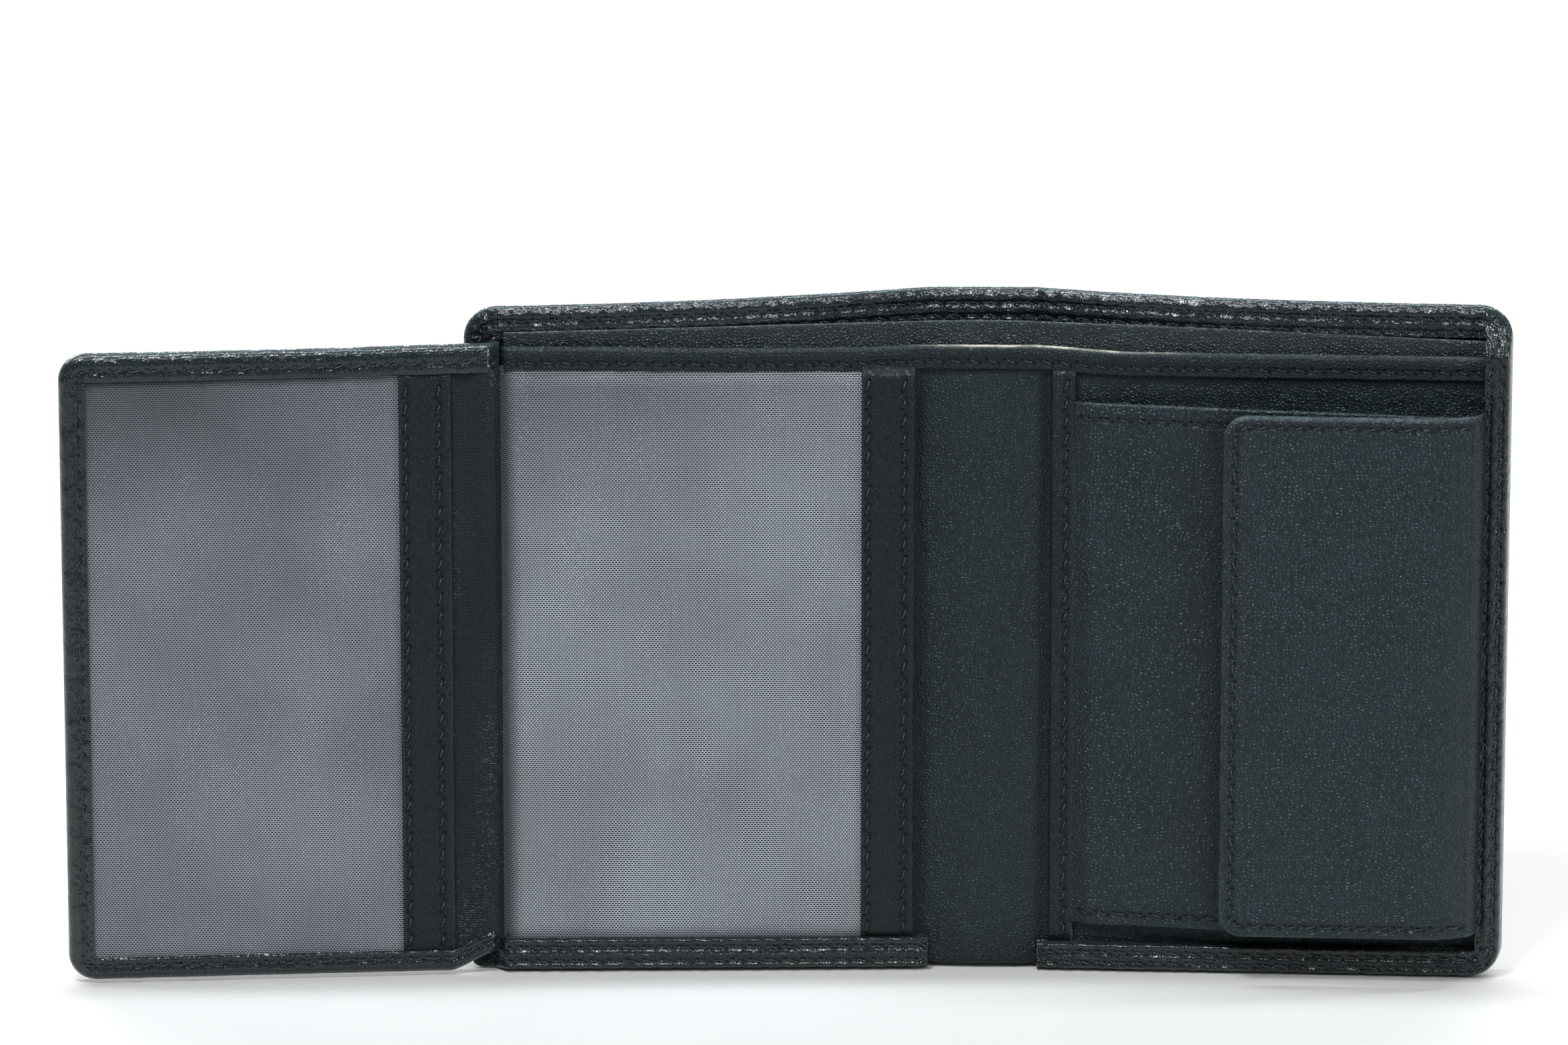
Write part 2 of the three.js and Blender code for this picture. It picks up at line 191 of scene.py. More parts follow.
def near_edge(grid, low, high):
    """Adds the grid lines that a rounded edge of radius low or high needs at each end."""
    share = 1 - np.cos(np.radians([15, 32, 50, 70]))
    extra = [grid[0] + low * share] if low else []
    extra += [grid[-1] - high * share] if high else []
    return unique(np.concatenate([grid, *extra]))


def unique(grid):
    """Grid lines in order, without those that nearly coincide."""
    grid = np.sort(grid)
    return grid[np.concatenate([[True], np.diff(grid) > 0.008])]


def cut_ends(grid, low_rolled, high_rolled):
    """Adds a grid line just inside each end that is cut off square, so its edge stays sharp."""
    extra = [] if low_rolled else [grid[0] + 0.02]
    extra += [] if high_rolled else [grid[-1] - 0.02]
    return np.sort(np.concatenate([grid, extra]))


def level(y):
    """A flat face at depth y, as a Sheet takes it."""
    return lambda x, z: y + 0 * x


def step_at(*places):
    """Pairs of grid lines that hold a step in the leather."""
    return [p + side * 0.02 for p in places for side in (-1, 1)]


def closed_grid(shape):
    """Faces of two grids of points, one behind the other, and of the walls that join their rims."""
    n = shape[0] * shape[1]
    cell = np.arange(n).reshape(shape)
    quads = np.stack([cell[:-1, :-1], cell[:-1, 1:], cell[1:, 1:], cell[1:, :-1]], -1).reshape(-1, 4)
    ring = np.concatenate([cell[0, :-1], cell[:-1, -1], cell[-1, :0:-1], cell[:0:-1, 0]])
    after = np.roll(ring, -1)
    walls = np.stack([ring, ring + n, after + n, after], -1)
    return np.concatenate([quads, quads[:, ::-1] + n, walls])


def new_object(name, data):
    """An object in the scene that shows data."""
    obj = bpy.data.objects.new(name, data)
    bpy.context.scene.collection.objects.link(obj)
    return obj


class Piece:
    """A mesh being made, in flat millimetres, with what its materials read from its points."""

    def __init__(self):
        self.points, self.faces, self.finish = [], [], []
        self.grain, self.seam, self.wear = [], [], []
        self.count = 0

    def add(self, points, faces, finish=0, grain=None, seam=None, wear=None):
        n = len(points)
        self.points.append(points)
        self.faces += (np.asarray(faces) + self.count).tolist()
        self.finish += [finish] * len(faces)
        self.grain.append(points if grain is None else grain)
        self.seam.append(np.tile([0.0, 50.0, 50.0], (n, 1)) if seam is None else seam)
        self.wear.append(np.zeros(n) if wear is None else wear)
        self.count += n

    def build(self, name, place, materials):
        mesh = bpy.data.meshes.new(name)
        placed = place(np.concatenate(self.points))
        mesh.from_pydata(placed.tolist(), [], self.faces)
        for material in materials:
            mesh.materials.append(material)
        mesh.polygons.foreach_set("material_index", self.finish)
        mesh.polygons.foreach_set("use_smooth", [True] * len(self.faces))
        for label, kind, parts in (("grain", "FLOAT_VECTOR", self.grain),
                                   ("seam", "FLOAT_VECTOR", self.seam),
                                   ("wear", "FLOAT", self.wear)):
            layer = mesh.attributes.new(label, kind, "POINT")
            key = "vector" if kind == "FLOAT_VECTOR" else "value"
            layer.data.foreach_set(key, np.concatenate(parts).astype(np.float32).ravel())
        mesh.update()
        return new_object(name, mesh)


STITCH_PITCH = 3.3
STITCH_REACH = 1.05     # half the length of thread that shows
STITCH_SLANT = math.radians(17)


class Seam:
    """A stitch line through (x, z) points."""

    def __init__(self, *points, slant=STITCH_SLANT):
        points = np.array(points, float)
        moved = np.linalg.norm(np.diff(points, axis=0), axis=1) > 1e-6
        self.points = points[np.concatenate([[True], moved])]
        self.run = np.linalg.norm(np.diff(self.points, axis=0), axis=1)
        self.length = self.run.sum()
        self.count = max(2, round(self.length / STITCH_PITCH))
        self.pitch = self.length / self.count
        self.slant = slant

    def near(self, x, z):
        """How many stitches along, and how far to the left of the line, each point is."""
        best = np.full(np.shape(x), 1e9)
        along, across = np.zeros_like(best), np.full_like(best, 50.0)
        before = 0.0
        for a, b, run in zip(self.points[:-1], self.points[1:], self.run):
            d = (b - a) / run
            s = np.clip((x - a[0]) * d[0] + (z - a[1]) * d[1], 0, run)
            px, pz = x - a[0] - s * d[0], z - a[1] - s * d[1]
            dist = np.hypot(px, pz)
            closer = dist < best
            side = np.where(d[0] * (z - a[1]) - d[1] * (x - a[0]) < 0, -1, 1)
            best = np.where(closer, dist, best)
            along = np.where(closer, (before + s) / self.pitch, along)
            across = np.where(closer, dist * side, across)
            before += run
        return along, across

    def at(self, s):
        """Points and unit directions at distances s along the line."""
        ends = np.concatenate([[0], np.cumsum(self.run)])
        i = np.clip(np.searchsorted(ends, s, side="right") - 1, 0, len(self.run) - 1)
        d = (self.points[i + 1] - self.points[i]) / self.run[i][:, None]
        return self.points[i] + d * (s - ends[i])[:, None], d


def nearest_seam(seams, x, z):
    """Stitches along, and distance across, of whichever seam is nearest."""
    along, across = np.zeros(np.shape(x)), np.full(np.shape(x), 50.0)
    for seam in seams:
        s, d = seam.near(x, z)
        closer = np.abs(d) < np.abs(across)
        along, across = np.where(closer, s, along), np.where(closer, d, across)
    return along, across


class Sheet:
    """Leather or cloth between a front and a back depth, on a grid, with rolled edges.

    rolled names the sides that are rounded: l, r, b, t. corner gives corner radii by the same
    letters, such as lt. shape moves the finished outline up or down.
    """

    def __init__(self, xs, zs, front, back, rolled="lrbt", corner=None, rim=1.0, shape=None,
                 seams=(), press=0.28, puff=0.12, sewn_through=False, wear_and_shade_at=None):
        self.xs = cut_ends(unique(np.asarray(xs, float)), "l" in rolled, "r" in rolled)
        self.zs = cut_ends(unique(np.asarray(zs, float)), "b" in rolled, "t" in rolled)
        self.front, self.back, self.rolled, self.rim = front, back, rolled, rim
        self.corner, self.shape, self.seams = corner or {}, shape, seams
        self.press, self.puff, self.sewn_through = press, puff, sewn_through
        # Positive values give pale rubbed rims; negative values give painted shade.
        self.wear_and_shade_at = wear_and_shade_at or (lambda x, z, inside: bell(inside, 0.45))

    def inside(self, x, z):
        """How far points lie inside the rolled outline."""
        reach = {"l": x - self.xs[0], "r": self.xs[-1] - x,
                 "b": z - self.zs[0], "t": self.zs[-1] - z}
        d = np.full(np.shape(x), 99.0)
        for side in self.rolled:
            d = np.minimum(d, reach[side])
        for (side, end), r in self.corner.items():
            a, b = r - reach[side], r - reach[end]
            held = (a > 0) & (b > 0)
            d = np.where(held, np.minimum(d, r - np.hypot(a, b)), d)
        return np.maximum(d, 0)

    def rounded(self, x, z):
        """Grid points moved so that the outline's corners are round."""
        for (side, end), r in self.corner.items():
            x0, sx = (self.xs[0], 1) if side == "l" else (self.xs[-1], -1)
            z0, sz = (self.zs[0], 1) if end == "b" else (self.zs[-1], -1)
            a, b = 1 - sx * (x - x0) / r, 1 - sz * (z - z0) / r
            held = (a > 0) & (b > 0)
            ra = a * np.sqrt(np.maximum(1 - b * b / 2, 0))
            rb = b * np.sqrt(np.maximum(1 - a * a / 2, 0))
            x, z = np.where(held, x0 + sx * r * (1 - ra), x), np.where(held, z0 + sz * r * (1 - rb), z)
        return x, z

    def faces(self, x, z, rx, rz):
        """Front and back depth at grid points x, z that lie at rx, rz once rounded."""
        front, back = self.front(x, z), self.back(x, z)
        along, across = nearest_seam(self.seams, rx, rz)
        beat = 0.5 + 0.5 * np.cos(2 * np.pi * along)
        groove = self.press * bell(across, 0.5) * (0.7 + 0.3 * beat)
        swell = self.puff * bell(np.abs(across) - 1.05, 0.55) * (1 - 0.75 * beat)
        front = front + groove - swell
        if self.sewn_through:
            back = back - groove + 0.6 * swell
        thick = back - front
        roll = np.clip(thick * 0.5, 0.05, self.rim)
        share = 1 - np.clip(self.inside(rx, rz) / roll, 0, 1)
        share = np.maximum(np.sqrt(1 - share * share), 0.06)
        middle = (front + back) / 2
        return middle - thick / 2 * share, middle + thick / 2 * share, along, across

    def into(self, piece):
        x, z = np.meshgrid(self.xs, self.zs)
        rx, rz = self.rounded(x, z)
        front, back, along, across = self.faces(x, z, rx, rz)
        inside = self.inside(rx, rz)
        height = rz if self.shape is None else self.shape(rx, rz)
        points = np.concatenate([np.stack([rx, y, height], -1).reshape(-1, 3) for y in (front, back)])
        seam_front = np.stack([along, across, np.abs(across)], -1).reshape(-1, 3)
        seam_back = seam_front.copy()
        if not self.sewn_through:
            seam_back[:, 1:] = 50.0
        wear = self.wear_and_shade_at(rx, rz, inside).ravel()
        piece.add(points, closed_grid(x.shape), seam=np.concatenate([seam_front, seam_back]),
                  wear=np.concatenate([wear, wear]))

    def surface(self, x, z, side):
        front, back, _, _ = self.faces(x, z, x, z)
        return front if side < 0 else back


THREAD_RINGS = 5
THREAD_SIDES = 6
THREAD_RADIUS = 0.17
THREAD_SLOT = 1         # place of the thread among a sewn piece's materials


def threads(piece, sheet, centres, directions, reach, side, seed, lift=0.17):
    """Short lengths of thread lying on a sheet's face, their ends sunk into it."""
    rng = np.random.default_rng(seed)
    n = len(centres)
    tau = np.linspace(-1, 1, THREAD_RINGS)
    span = reach * rng.uniform(0.92, 1.06, n)
    path = centres[:, None, :] + directions[:, None, :] * (tau[None, :, None] * span[:, None, None])
    x, z = path[..., 0], path[..., 1]
    depth = sheet.surface(x, z, side)
    rise = lift * rng.uniform(0.8, 1.2, n)[:, None] * (1 - tau ** 2) - 0.16 * tau ** 4
    depth = depth + side * rise
    height = z if sheet.shape is None else sheet.shape(x, z)
    turn = np.linspace(0, 2 * np.pi, THREAD_SIDES, endpoint=False)
    radius = THREAD_RADIUS * np.sqrt(np.maximum(1 - 0.75 * tau ** 4, 0.1))
    out = np.cos(turn)[None, None, :] * radius[None, :, None]
    up = np.sin(turn)[None, None, :] * radius[None, :, None]
    across = np.stack([-directions[:, 1], directions[:, 0]], -1)
    points = np.empty((n, THREAD_RINGS, THREAD_SIDES, 3))
    points[..., 0] = x[..., None] + across[:, 0, None, None] * out
    points[..., 1] = depth[..., None] + up
    points[..., 2] = height[..., None] + across[:, 1, None, None] * out
    grain = np.empty_like(points)
    grain[..., 0] = (tau[None, :] * span[:, None])[..., None]
    grain[..., 1] = turn / (2 * np.pi)
    grain[..., 2] = np.arange(n)[:, None, None]
    ring = np.arange(THREAD_SIDES)
    after = np.roll(ring, -1)
    band = np.stack([ring, after, after + THREAD_SIDES, ring + THREAD_SIDES], -1)
    one = np.concatenate([band + r * THREAD_SIDES for r in range(THREAD_RINGS - 1)])
    size = THREAD_RINGS * THREAD_SIDES
    starts = np.arange(n) * size
    sides = (one[None] + starts[:, None, None]).reshape(-1, 4)
    caps = [(piece.count + start + cap).tolist()
            for start in starts for cap in (ring[::-1], ring + size - THREAD_SIDES)]
    piece.add(points.reshape(-1, 3), sides, THREAD_SLOT, grain=grain.reshape(-1, 3))
    piece.faces += caps
    piece.finish += [THREAD_SLOT] * len(caps)


def sew(piece, sheet, seed, sides):
    """Lays the stitches of all a sheet's seams, on its front (side -1), its back (side 1) or both."""
    for k, seam in enumerate(sheet.seams):
        s = (np.arange(seam.count) + 0.5) * seam.pitch
        centres, along = seam.at(s)
        wobble = np.random.default_rng(seed + k).normal(0, math.radians(4), seam.count)
        for side in sides:
            angle = -seam.slant + wobble
            c, d = np.cos(angle), np.sin(angle)
            directions = np.stack([along[:, 0] * c - along[:, 1] * d,
                                   along[:, 0] * d + along[:, 1] * c], -1)
            threads(piece, sheet, centres, directions, STITCH_REACH, side, seed + k)


def tack(piece, sheet, x, z, seed, count=7, spread=0.8):
    """A small knot of loose thread ends where a stitch line starts or stops."""
    rng = np.random.default_rng(seed)
    centres = np.stack([x + rng.normal(0, spread, count), z + rng.normal(0, spread * 0.6, count)], -1)
    angle = rng.uniform(0, np.pi, count)
    directions = np.stack([np.cos(angle), np.sin(angle)], -1)
    threads(piece, sheet, centres, directions, 0.8, -1, seed, lift=0.3)


def made(sheet, name, place, finishes, nodes, seed=0, sides=(-1,), tacks=()):
    """A sheet with its stitches and its tacks (x, z, seed), as the piece that stands for CAD nodes."""
    piece = Piece()
    sheet.into(piece)
    sew(piece, sheet, seed, sides)
    for x, z, tack_seed in tacks:
        tack(piece, sheet, x, z, tack_seed)
    obj = piece.build(name, place, finishes)
    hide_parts(*nodes)
    return obj


# ---------------------------------------------------------------- materials


class Nodes:
    """Shorthand for making a material's nodes."""

    def __init__(self, name):
        self.material = bpy.data.materials.new(name)
        self.material.use_nodes = True
        self.tree = self.material.node_tree
        self.shader = self.tree.nodes["Principled BSDF"]

    def new(self, kind, settings=None, **inputs):
        node = self.tree.nodes.new(kind)
        for key, value in (settings or {}).items():
            setattr(node, key, value)
        self.put(node, inputs)
        return node

    def put(self, node, inputs):
        """Sets inputs by name, with _ for a space, or by i and a number, to a value or an output."""
        for key, value in inputs.items():
            numbered = key[0] == "i" and key[1:].isdigit()
            target = node.inputs[int(key[1:]) if numbered else key.replace("_", " ")]
            if isinstance(value, bpy.types.NodeSocket):
                self.tree.links.new(value, target)
            else:
                target.default_value = value

    def shade(self, **inputs):
        self.put(self.shader, inputs)

    def math(self, operation, a, b=0.0, clamp=False):
        node = self.new("ShaderNodeMath", {"operation": operation, "use_clamp": clamp}, i0=a, i1=b)
        return node.outputs[0]

    def times(self, a, b):
        return self.math("MULTIPLY", a, b)

    def plus(self, a, b):
        return self.math("ADD", a, b)

    def total(self, *parts):
        """Sum of values, each times its weight."""
        out = 0.0
        for value, weight in parts:
            out = self.plus(self.times(value, weight), out)
        return out

    def ramp(self, value, low, high, out_low=0.0, out_high=1.0):
        """value from low to high, as a smooth step from out_low to out_high."""
        node = self.new("ShaderNodeMapRange", {"interpolation_type": "SMOOTHSTEP"},
                        i0=value, i1=low, i2=high, i3=out_low, i4=out_high)
        return node.outputs[0]

    def mix(self, share, a, b):
        return self.new("ShaderNodeMix", {"data_type": "RGBA"}, i0=share, i6=a, i7=b).outputs[2]

    def attribute(self, name, output="Vector"):
        return self.new("ShaderNodeAttribute", {"attribute_name": name}).outputs[output]

    def vector(self, operation, a, b, c=(0, 0, 0)):
        node = self.new("ShaderNodeVectorMath", {"operation": operation}, i0=a, i1=b, i2=c)
        return node.outputs[0]

    def split(self, vector):
        return self.new("ShaderNodeSeparateXYZ", Vector=vector).outputs

    def noise(self, vector, scale, detail):
        return self.new("ShaderNodeTexNoise", Vector=vector, Scale=scale, Detail=detail).outputs[0]

    def bump(self, height, distance):
        """distance is in millimetres for a height of one."""
        return self.new("ShaderNodeBump", Height=height, Distance=distance * MM).outputs[0]


def rgba(r, g, b):
    return (r, g, b, 1.0)


def scaled(colour, share):
    """A colour made darker or lighter."""
    return rgba(*[v * share for v in colour[:3]])


WORN_EDGE = rgba(0.085, 0.125, 0.135)


def leather(name, dark, light, cell, depth, rough, specular, coat=0.08, edge=WORN_EDGE, edge_share=0.5):
    """Grained leather. cell is the size of the grain, depth how deep it is, in millimetres."""
    n = Nodes(name)
    place = n.vector("ADD", n.attribute("grain"), (231.7, 64.3, 157.1))
    pebble, fine = leather_grain(n, place, cell)
    broad = n.noise(place, 0.09, 3.0)
    patch = n.noise(place, 0.35, 2.0)
    hole, beside, crimp = stitch_marks(n, *n.split(n.attribute("seam")))
    wear = n.attribute("wear", "Fac")
    shade = scaled(dark, 0.3)
    tone = n.mix(n.ramp(broad, 0.32, 0.68), dark, light)
    tone = n.mix(n.times(n.ramp(pebble, 0.6, 0.0), 0.8), tone, shade)
    # Painted glints: fine specks three times as light as the leather.
    tone = n.mix(n.times(n.ramp(fine, 0.6, 0.8), 0.15), tone, scaled(light, 3))
    # Painted shade: where the attribute is negative, the leather darkens towards a fifth of its dark tone.
    painted_shade = n.math("MULTIPLY", wear, -0.85, clamp=True)
    patchy = n.times(n.math("MAXIMUM", wear, 0.0), n.ramp(patch, 0.35, 0.7, 0.35, 1.0))
    tone = n.mix(n.times(patchy, edge_share), tone, edge)
    tone = n.mix(painted_shade, tone, scaled(dark, 0.2))
    tone = n.mix(n.times(beside, 0.6), tone, shade)
    tone = n.mix(n.times(hole, 0.95), tone, rgba(0.0012, 0.0016, 0.0018))
    swell = n.noise(place, 0.4, 2.0)
    relief = n.total((swell, 0.3), (crimp, 0.17), (pebble, depth), (fine, depth * 0.25),
                     (beside, -0.05), (hole, -0.2))
    glazed = n.total((swell, 0.3), (crimp, 0.38), (pebble, depth * 0.12), (beside, -0.05), (hole, -0.2))
    gloss = n.plus(n.ramp(broad, 0.3, 0.7, rough - 0.05, rough + 0.06), n.times(fine, 0.08))
    gloss = n.plus(gloss, n.ramp(pebble, 0.6, 0.0, 0.0, 0.16))
    gloss = n.plus(gloss, n.times(n.plus(hole, painted_shade), 0.3))
    n.shade(Base_Color=tone, Normal=n.bump(relief, 1.0), Roughness=gloss, Specular_IOR_Level=specular,
            Specular_Tint=rgba(0.8, 0.95, 1.0), Coat_Weight=coat, Coat_Roughness=0.14,
            Coat_Tint=rgba(0.9, 0.97, 1.0), Coat_Normal=n.bump(glazed, 1.0))
    return n.material


def leather_grain(n, place, cell):
    """Pebbles of about one cell, with bent outlines, and a fine tooth over them."""
    warp = n.new("ShaderNodeTexNoise", Vector=place, Scale=0.9, Detail=2.0).outputs["Color"]
    bent = n.vector("MULTIPLY_ADD", warp, (0.55, 0.55, 0.55), place)
    cells = n.new("ShaderNodeTexVoronoi", {"feature": "DISTANCE_TO_EDGE"}, Vector=bent, Scale=1 / cell,
                  Randomness=0.95)
    return n.ramp(cells.outputs["Distance"], 0.0, 0.42), n.noise(place, 5.0, 3.0)


def stitch_marks(n, stitch, across, away):
    """Needle holes, the pressed line between them and the gathers beside them.

    stitch counts stitches along the seam, across is the signed distance from it, away the unsigned.
    """
    along = n.times(n.math("SUBTRACT", n.math("FRACT", stitch), 0.5), STITCH_PITCH)
    c, s = math.cos(STITCH_SLANT), math.sin(STITCH_SLANT)
    down = n.math("SUBTRACT", n.times(along, c), n.times(across, s))
    over = n.plus(n.times(along, s), n.times(across, c))
    end = n.math("SUBTRACT", n.math("ABSOLUTE", down), STITCH_REACH + 0.1)
    reach = n.math("SQRT", n.plus(n.times(end, end), n.times(over, over)))
    pleat = n.new("ShaderNodeCombineXYZ", X=n.times(stitch, 2.3), Y=n.times(across, 0.55)).outputs[0]
    crimp = n.times(n.noise(pleat, 1.0, 2.0), n.ramp(away, 2.3, 0.9))
    hole = n.times(n.ramp(reach, 0.42, 0.2), n.ramp(away, 1.1, 0.9))
    return hole, n.ramp(away, 0.75, 0.1), crimp


def thread_finish():
    """Twisted tonal thread."""
    n = Nodes("thread")
    place = n.attribute("grain")
    along, around, _ = n.split(place)
    twist = n.total((around, 2.0), (along, 2.2))
    ply = n.math("ABSOLUTE", n.math("SINE", n.times(twist, math.pi)))
    patch = n.noise(place, 1.7, 1.0)
    tone = n.mix(n.ramp(patch, 0.35, 0.7), rgba(0.007, 0.010, 0.012), rgba(0.026, 0.034, 0.040))
    # Painted shade in the grooves between the plies.
    tone = n.mix(n.ramp(ply, 0.5, 0.0, 0.0, 0.8), tone, rgba(0.006, 0.008, 0.009))
    n.shade(Base_Color=tone, Normal=n.bump(ply, 0.06), Roughness=n.ramp(patch, 0.3, 0.7, 0.28, 0.42),
            Specular_IOR_Level=0.8)
    return n.material


def mesh_cloth(name, holes, yarn, dark, light, painted_glint, specular=0.45, painted_glint_share=0.5):
    """Cloth of staggered holes, holes wide and high, between yarns of the given width, in mm."""
    n = Nodes(name)
    place = n.attribute("grain")
    across, _, up = n.split(place)
    flat = n.new("ShaderNodeCombineXYZ", X=across, Y=up).outputs[0]
    brick = n.new("ShaderNodeTexBrick", {"offset": 0.5, "offset_frequency": 2, "squash": 1.0}, Vector=flat,
                  Scale=1.0, Brick_Width=holes[0], Row_Height=holes[1], Mortar_Size=yarn, Mortar_Smooth=0.5)
    yarns = brick.outputs["Fac"]
    turn = n.new("ShaderNodeMapping", Vector=flat, Rotation=(0, 0, math.radians(32)), Scale=(0.13, 0.035, 1))
    # Painted glints: bands and patches where the yarns take a light colour, standing in for reflections from
    # the yarns.
    band = n.noise(turn.outputs[0], 1.0, 2.0)
    shine = n.noise(n.vector("MULTIPLY", place, (1.7, 1.7, 2.6)), 1.0, 2.0)
    tone = n.mix(n.ramp(n.noise(place, 0.045, 2.0), 0.3, 0.7), scaled(light, 0.82), light)
    painted_glints = n.times(n.ramp(shine, 0.5, 0.75), n.ramp(band, 0.42, 0.68, 0.08, painted_glint_share))
    # The attribute darkens the cloth with painted shade, and the painted glints lighten its yarns.
    tone = n.mix(n.attribute("wear", "Fac"), n.mix(painted_glints, tone, painted_glint), scaled(dark, 0.5))
    n.shade(Base_Color=n.mix(n.ramp(yarns, 0.1, 0.7), dark, tone), Normal=n.bump(yarns, 0.1),
            Roughness=n.ramp(yarns, 0.2, 0.8, 0.8, 0.36), Specular_IOR_Level=specular)
    return n.material


def metal_finish():
    """Gunmetal with fine turned marks."""
    n = Nodes("gunmetal")
    place = n.new("ShaderNodeTexCoord").outputs["Object"]
    marks = n.noise(place, 4000.0, 2.0)
    wide = n.noise(place, 300.0, 2.0)
    tone = n.mix(n.ramp(wide, 0.3, 0.7), rgba(0.10, 0.10, 0.105), rgba(0.2, 0.2, 0.205))
    n.shade(Base_Color=tone, Roughness=n.ramp(marks, 0.3, 0.7, 0.24, 0.42), Normal=n.bump(marks, 0.01),
            Metallic=1.0)
    return n.material


OUTER = leather("outer_leather", rgba(0.0072, 0.0112, 0.0134), rgba(0.0132, 0.0190, 0.0222),
                cell=0.6, depth=0.12, rough=0.33, specular=0.22, coat=0.8)
STRIP = leather("strip_leather", rgba(0.0062, 0.0090, 0.0107), rgba(0.0108, 0.0150, 0.0176), cell=0.55,
                depth=0.1, rough=0.31, specular=0.3, coat=0.12)
PANEL = leather("panel_leather", rgba(0.0102, 0.0162, 0.0215), rgba(0.0162, 0.0245, 0.0318), cell=0.72,
                depth=0.16, rough=0.29, specular=0.38)
# Painted light: a lighter copy of the leather, for the pouch's back where it shows in the shaded recess
# above the pouch.
LIT_RECESS_LEATHER = leather("recess_leather_painted_light", rgba(0.0280, 0.0400, 0.0460), rgba(0.0400, 0.0560, 0.0640), cell=0.65,
                 depth=0.17, rough=0.31, specular=0.44)
INNER = leather("inner_leather", rgba(0.0090, 0.0118, 0.0130), rgba(0.0165, 0.0200, 0.0215), cell=0.62,
                depth=0.14, rough=0.3, specular=0.5, coat=0.2, edge=rgba(0.07, 0.08, 0.08), edge_share=0.6)
RAW_EDGED = leather("note_wall_leather", rgba(0.0085, 0.0142, 0.0178), rgba(0.0140, 0.0218, 0.0268),
                    cell=0.62, depth=0.14, rough=0.31, specular=0.36,
                    edge=rgba(0.5, 0.48, 0.43), edge_share=1.0)
THREAD = thread_finish()
NET = mesh_cloth("nylon_net", (0.6, 0.385), 0.105, rgba(0.013, 0.0165, 0.0215), rgba(0.415, 0.443, 0.495),
                 rgba(0.85, 0.88, 0.92))
WOVEN = mesh_cloth("woven_lining", (0.52, 0.34), 0.07, rgba(0.003, 0.004, 0.0055), rgba(0.036, 0.042, 0.051),
                   rgba(0.19, 0.205, 0.23), 0.16, 0.85)
METAL = metal_finish()

# ---------------------------------------------------------------- cover

COVER_X0 = flat_box("cover_left")[0][0]
COVER_X1 = flat_box("cover_right")[1][0]
NOMINAL_TOP = 125.0     # grid height of the cover, before its top edge is curved
LEATHER = 0.9
HEM = 6.0
HEM_LIFT = 1.1          # the turned hem stands this far in front of the cover's inner face
COVER_INNER = 3.1
MOUTH_BULGE = 3.5
FOLD_BULGE = 1.0
BULGE_REACH = 45.0
CREASE_X = flat_box("note_wall_left")[0][0]
BINDING_Y = flat_box("bottom_binding_left")[0][1]
LEFT_BINDING = flat_box("bottom_binding_left")[1][2]
RIGHT_BINDING = flat_box("bottom_binding_right")[1][2]
BINDING_END_LEFT = flat_box("bottom_binding_left")[1][0]
BINDING_END_RIGHT = flat_box("bottom_binding_right")[0][0]
EDGE_BINDING_X = flat_box("right_edge_binding")[0][0]
CORNER = 6.0
BINDING_START = CREASE_X - 3.0   # the left bottom binding starts a little beyond the crease
CURL = 4.0              # the cover curls forward over this height above its lower edge
MIDDLE = 60.0           # half way up: a height where no edge is curved
FINE = 0.5              # spacing of the grid where leather is rolled or sewn


def above(z, reach):
    """0 up to the wallet's middle, and from there to 1 over the next reach millimetres."""
    return np.clip((z - MIDDLE) / reach, 0, 1)


def cover_depth(x, z):
    """Depth of the cover's inner face, which curls forward at its lower edge."""
    t = np.clip((FOLD_X + BULGE_REACH - np.abs(x)) / BULGE_REACH, 0, 1)
    depth = COVER_INNER + t * t * (FOLD_BULGE + MOUTH_BULGE * z / NOMINAL_TOP)
    curl = 1 - np.sqrt(1 - np.clip(1 - z / CURL, 0, 1) ** 2)
    return depth - (depth - LEATHER) * curl


def cover_top(x):
    """Height of the cover's top edge."""
    rise = 0.5 * (1 + np.cos(np.pi * np.clip(x / COVER_X1, -1, 1)))
    end = np.where(x < 0, NOMINAL_TOP, NOMINAL_TOP + 1.2)
    return end + (NOMINAL_TOP + 2.1 - end) * rise


def cover_shape(x, z):
    return z + (cover_top(x) - NOMINAL_TOP) * above(z, 58)


def gathers(x, z, cx, cz, count=13, deep=0.22):
    """Radial pleats where leather is gathered round a corner at cx, cz."""
    angle = np.arctan2(z - cz, x - cx)
    reach = np.hypot(x - cx, z - cz)
    return deep * np.cos(angle * count) * smooth((reach - 1.0) / 2.0) * smooth((6.5 - reach) / 1.5)


def wrinkles(x, z):
    """Fine gathers across a sewn band along x."""
    x = calm(x)
    return 0.13 * noise(x, z * 0.25, 1.4, 3) + 0.10 * noise(x, z * 0.6, 2.9, 4)


def side_wrinkles(x, z):
    """Fine gathers across a sewn band along z."""
    return wrinkles(z + 5, x)


def top_hem(x, z):
    """Depth of a turned hem, and of a half's front face with only its top hem."""
    inner = cover_depth(x, z)
    hem = inner - HEM_LIFT
    return hem, np.where(z > NOMINAL_TOP - HEM, hem + wrinkles(x, z), inner)


def cover_left_front(x, z):
    """Front face of the left half: turned hems at the top and side, a binding at the bottom."""
    hem, y = top_hem(x, z)
    y = np.where((x < COVER_X0 + HEM) & (z <= NOMINAL_TOP - HEM), hem + side_wrinkles(x, z), y)
    ends = smooth((x - BINDING_START) / 3.5)
    band = BINDING_Y + 0.6 * wrinkles(x, z) + (1 - ends) * (hem - BINDING_Y)
    y = np.where((z < LEFT_BINDING) & (x < BINDING_END_LEFT) & (x > BINDING_START), band, y)
    corner = gathers(x, z, COVER_X0 + CORNER, NOMINAL_TOP - CORNER)
    return y + np.where((x < COVER_X0 + CORNER) & (z > NOMINAL_TOP - CORNER), corner, 0)


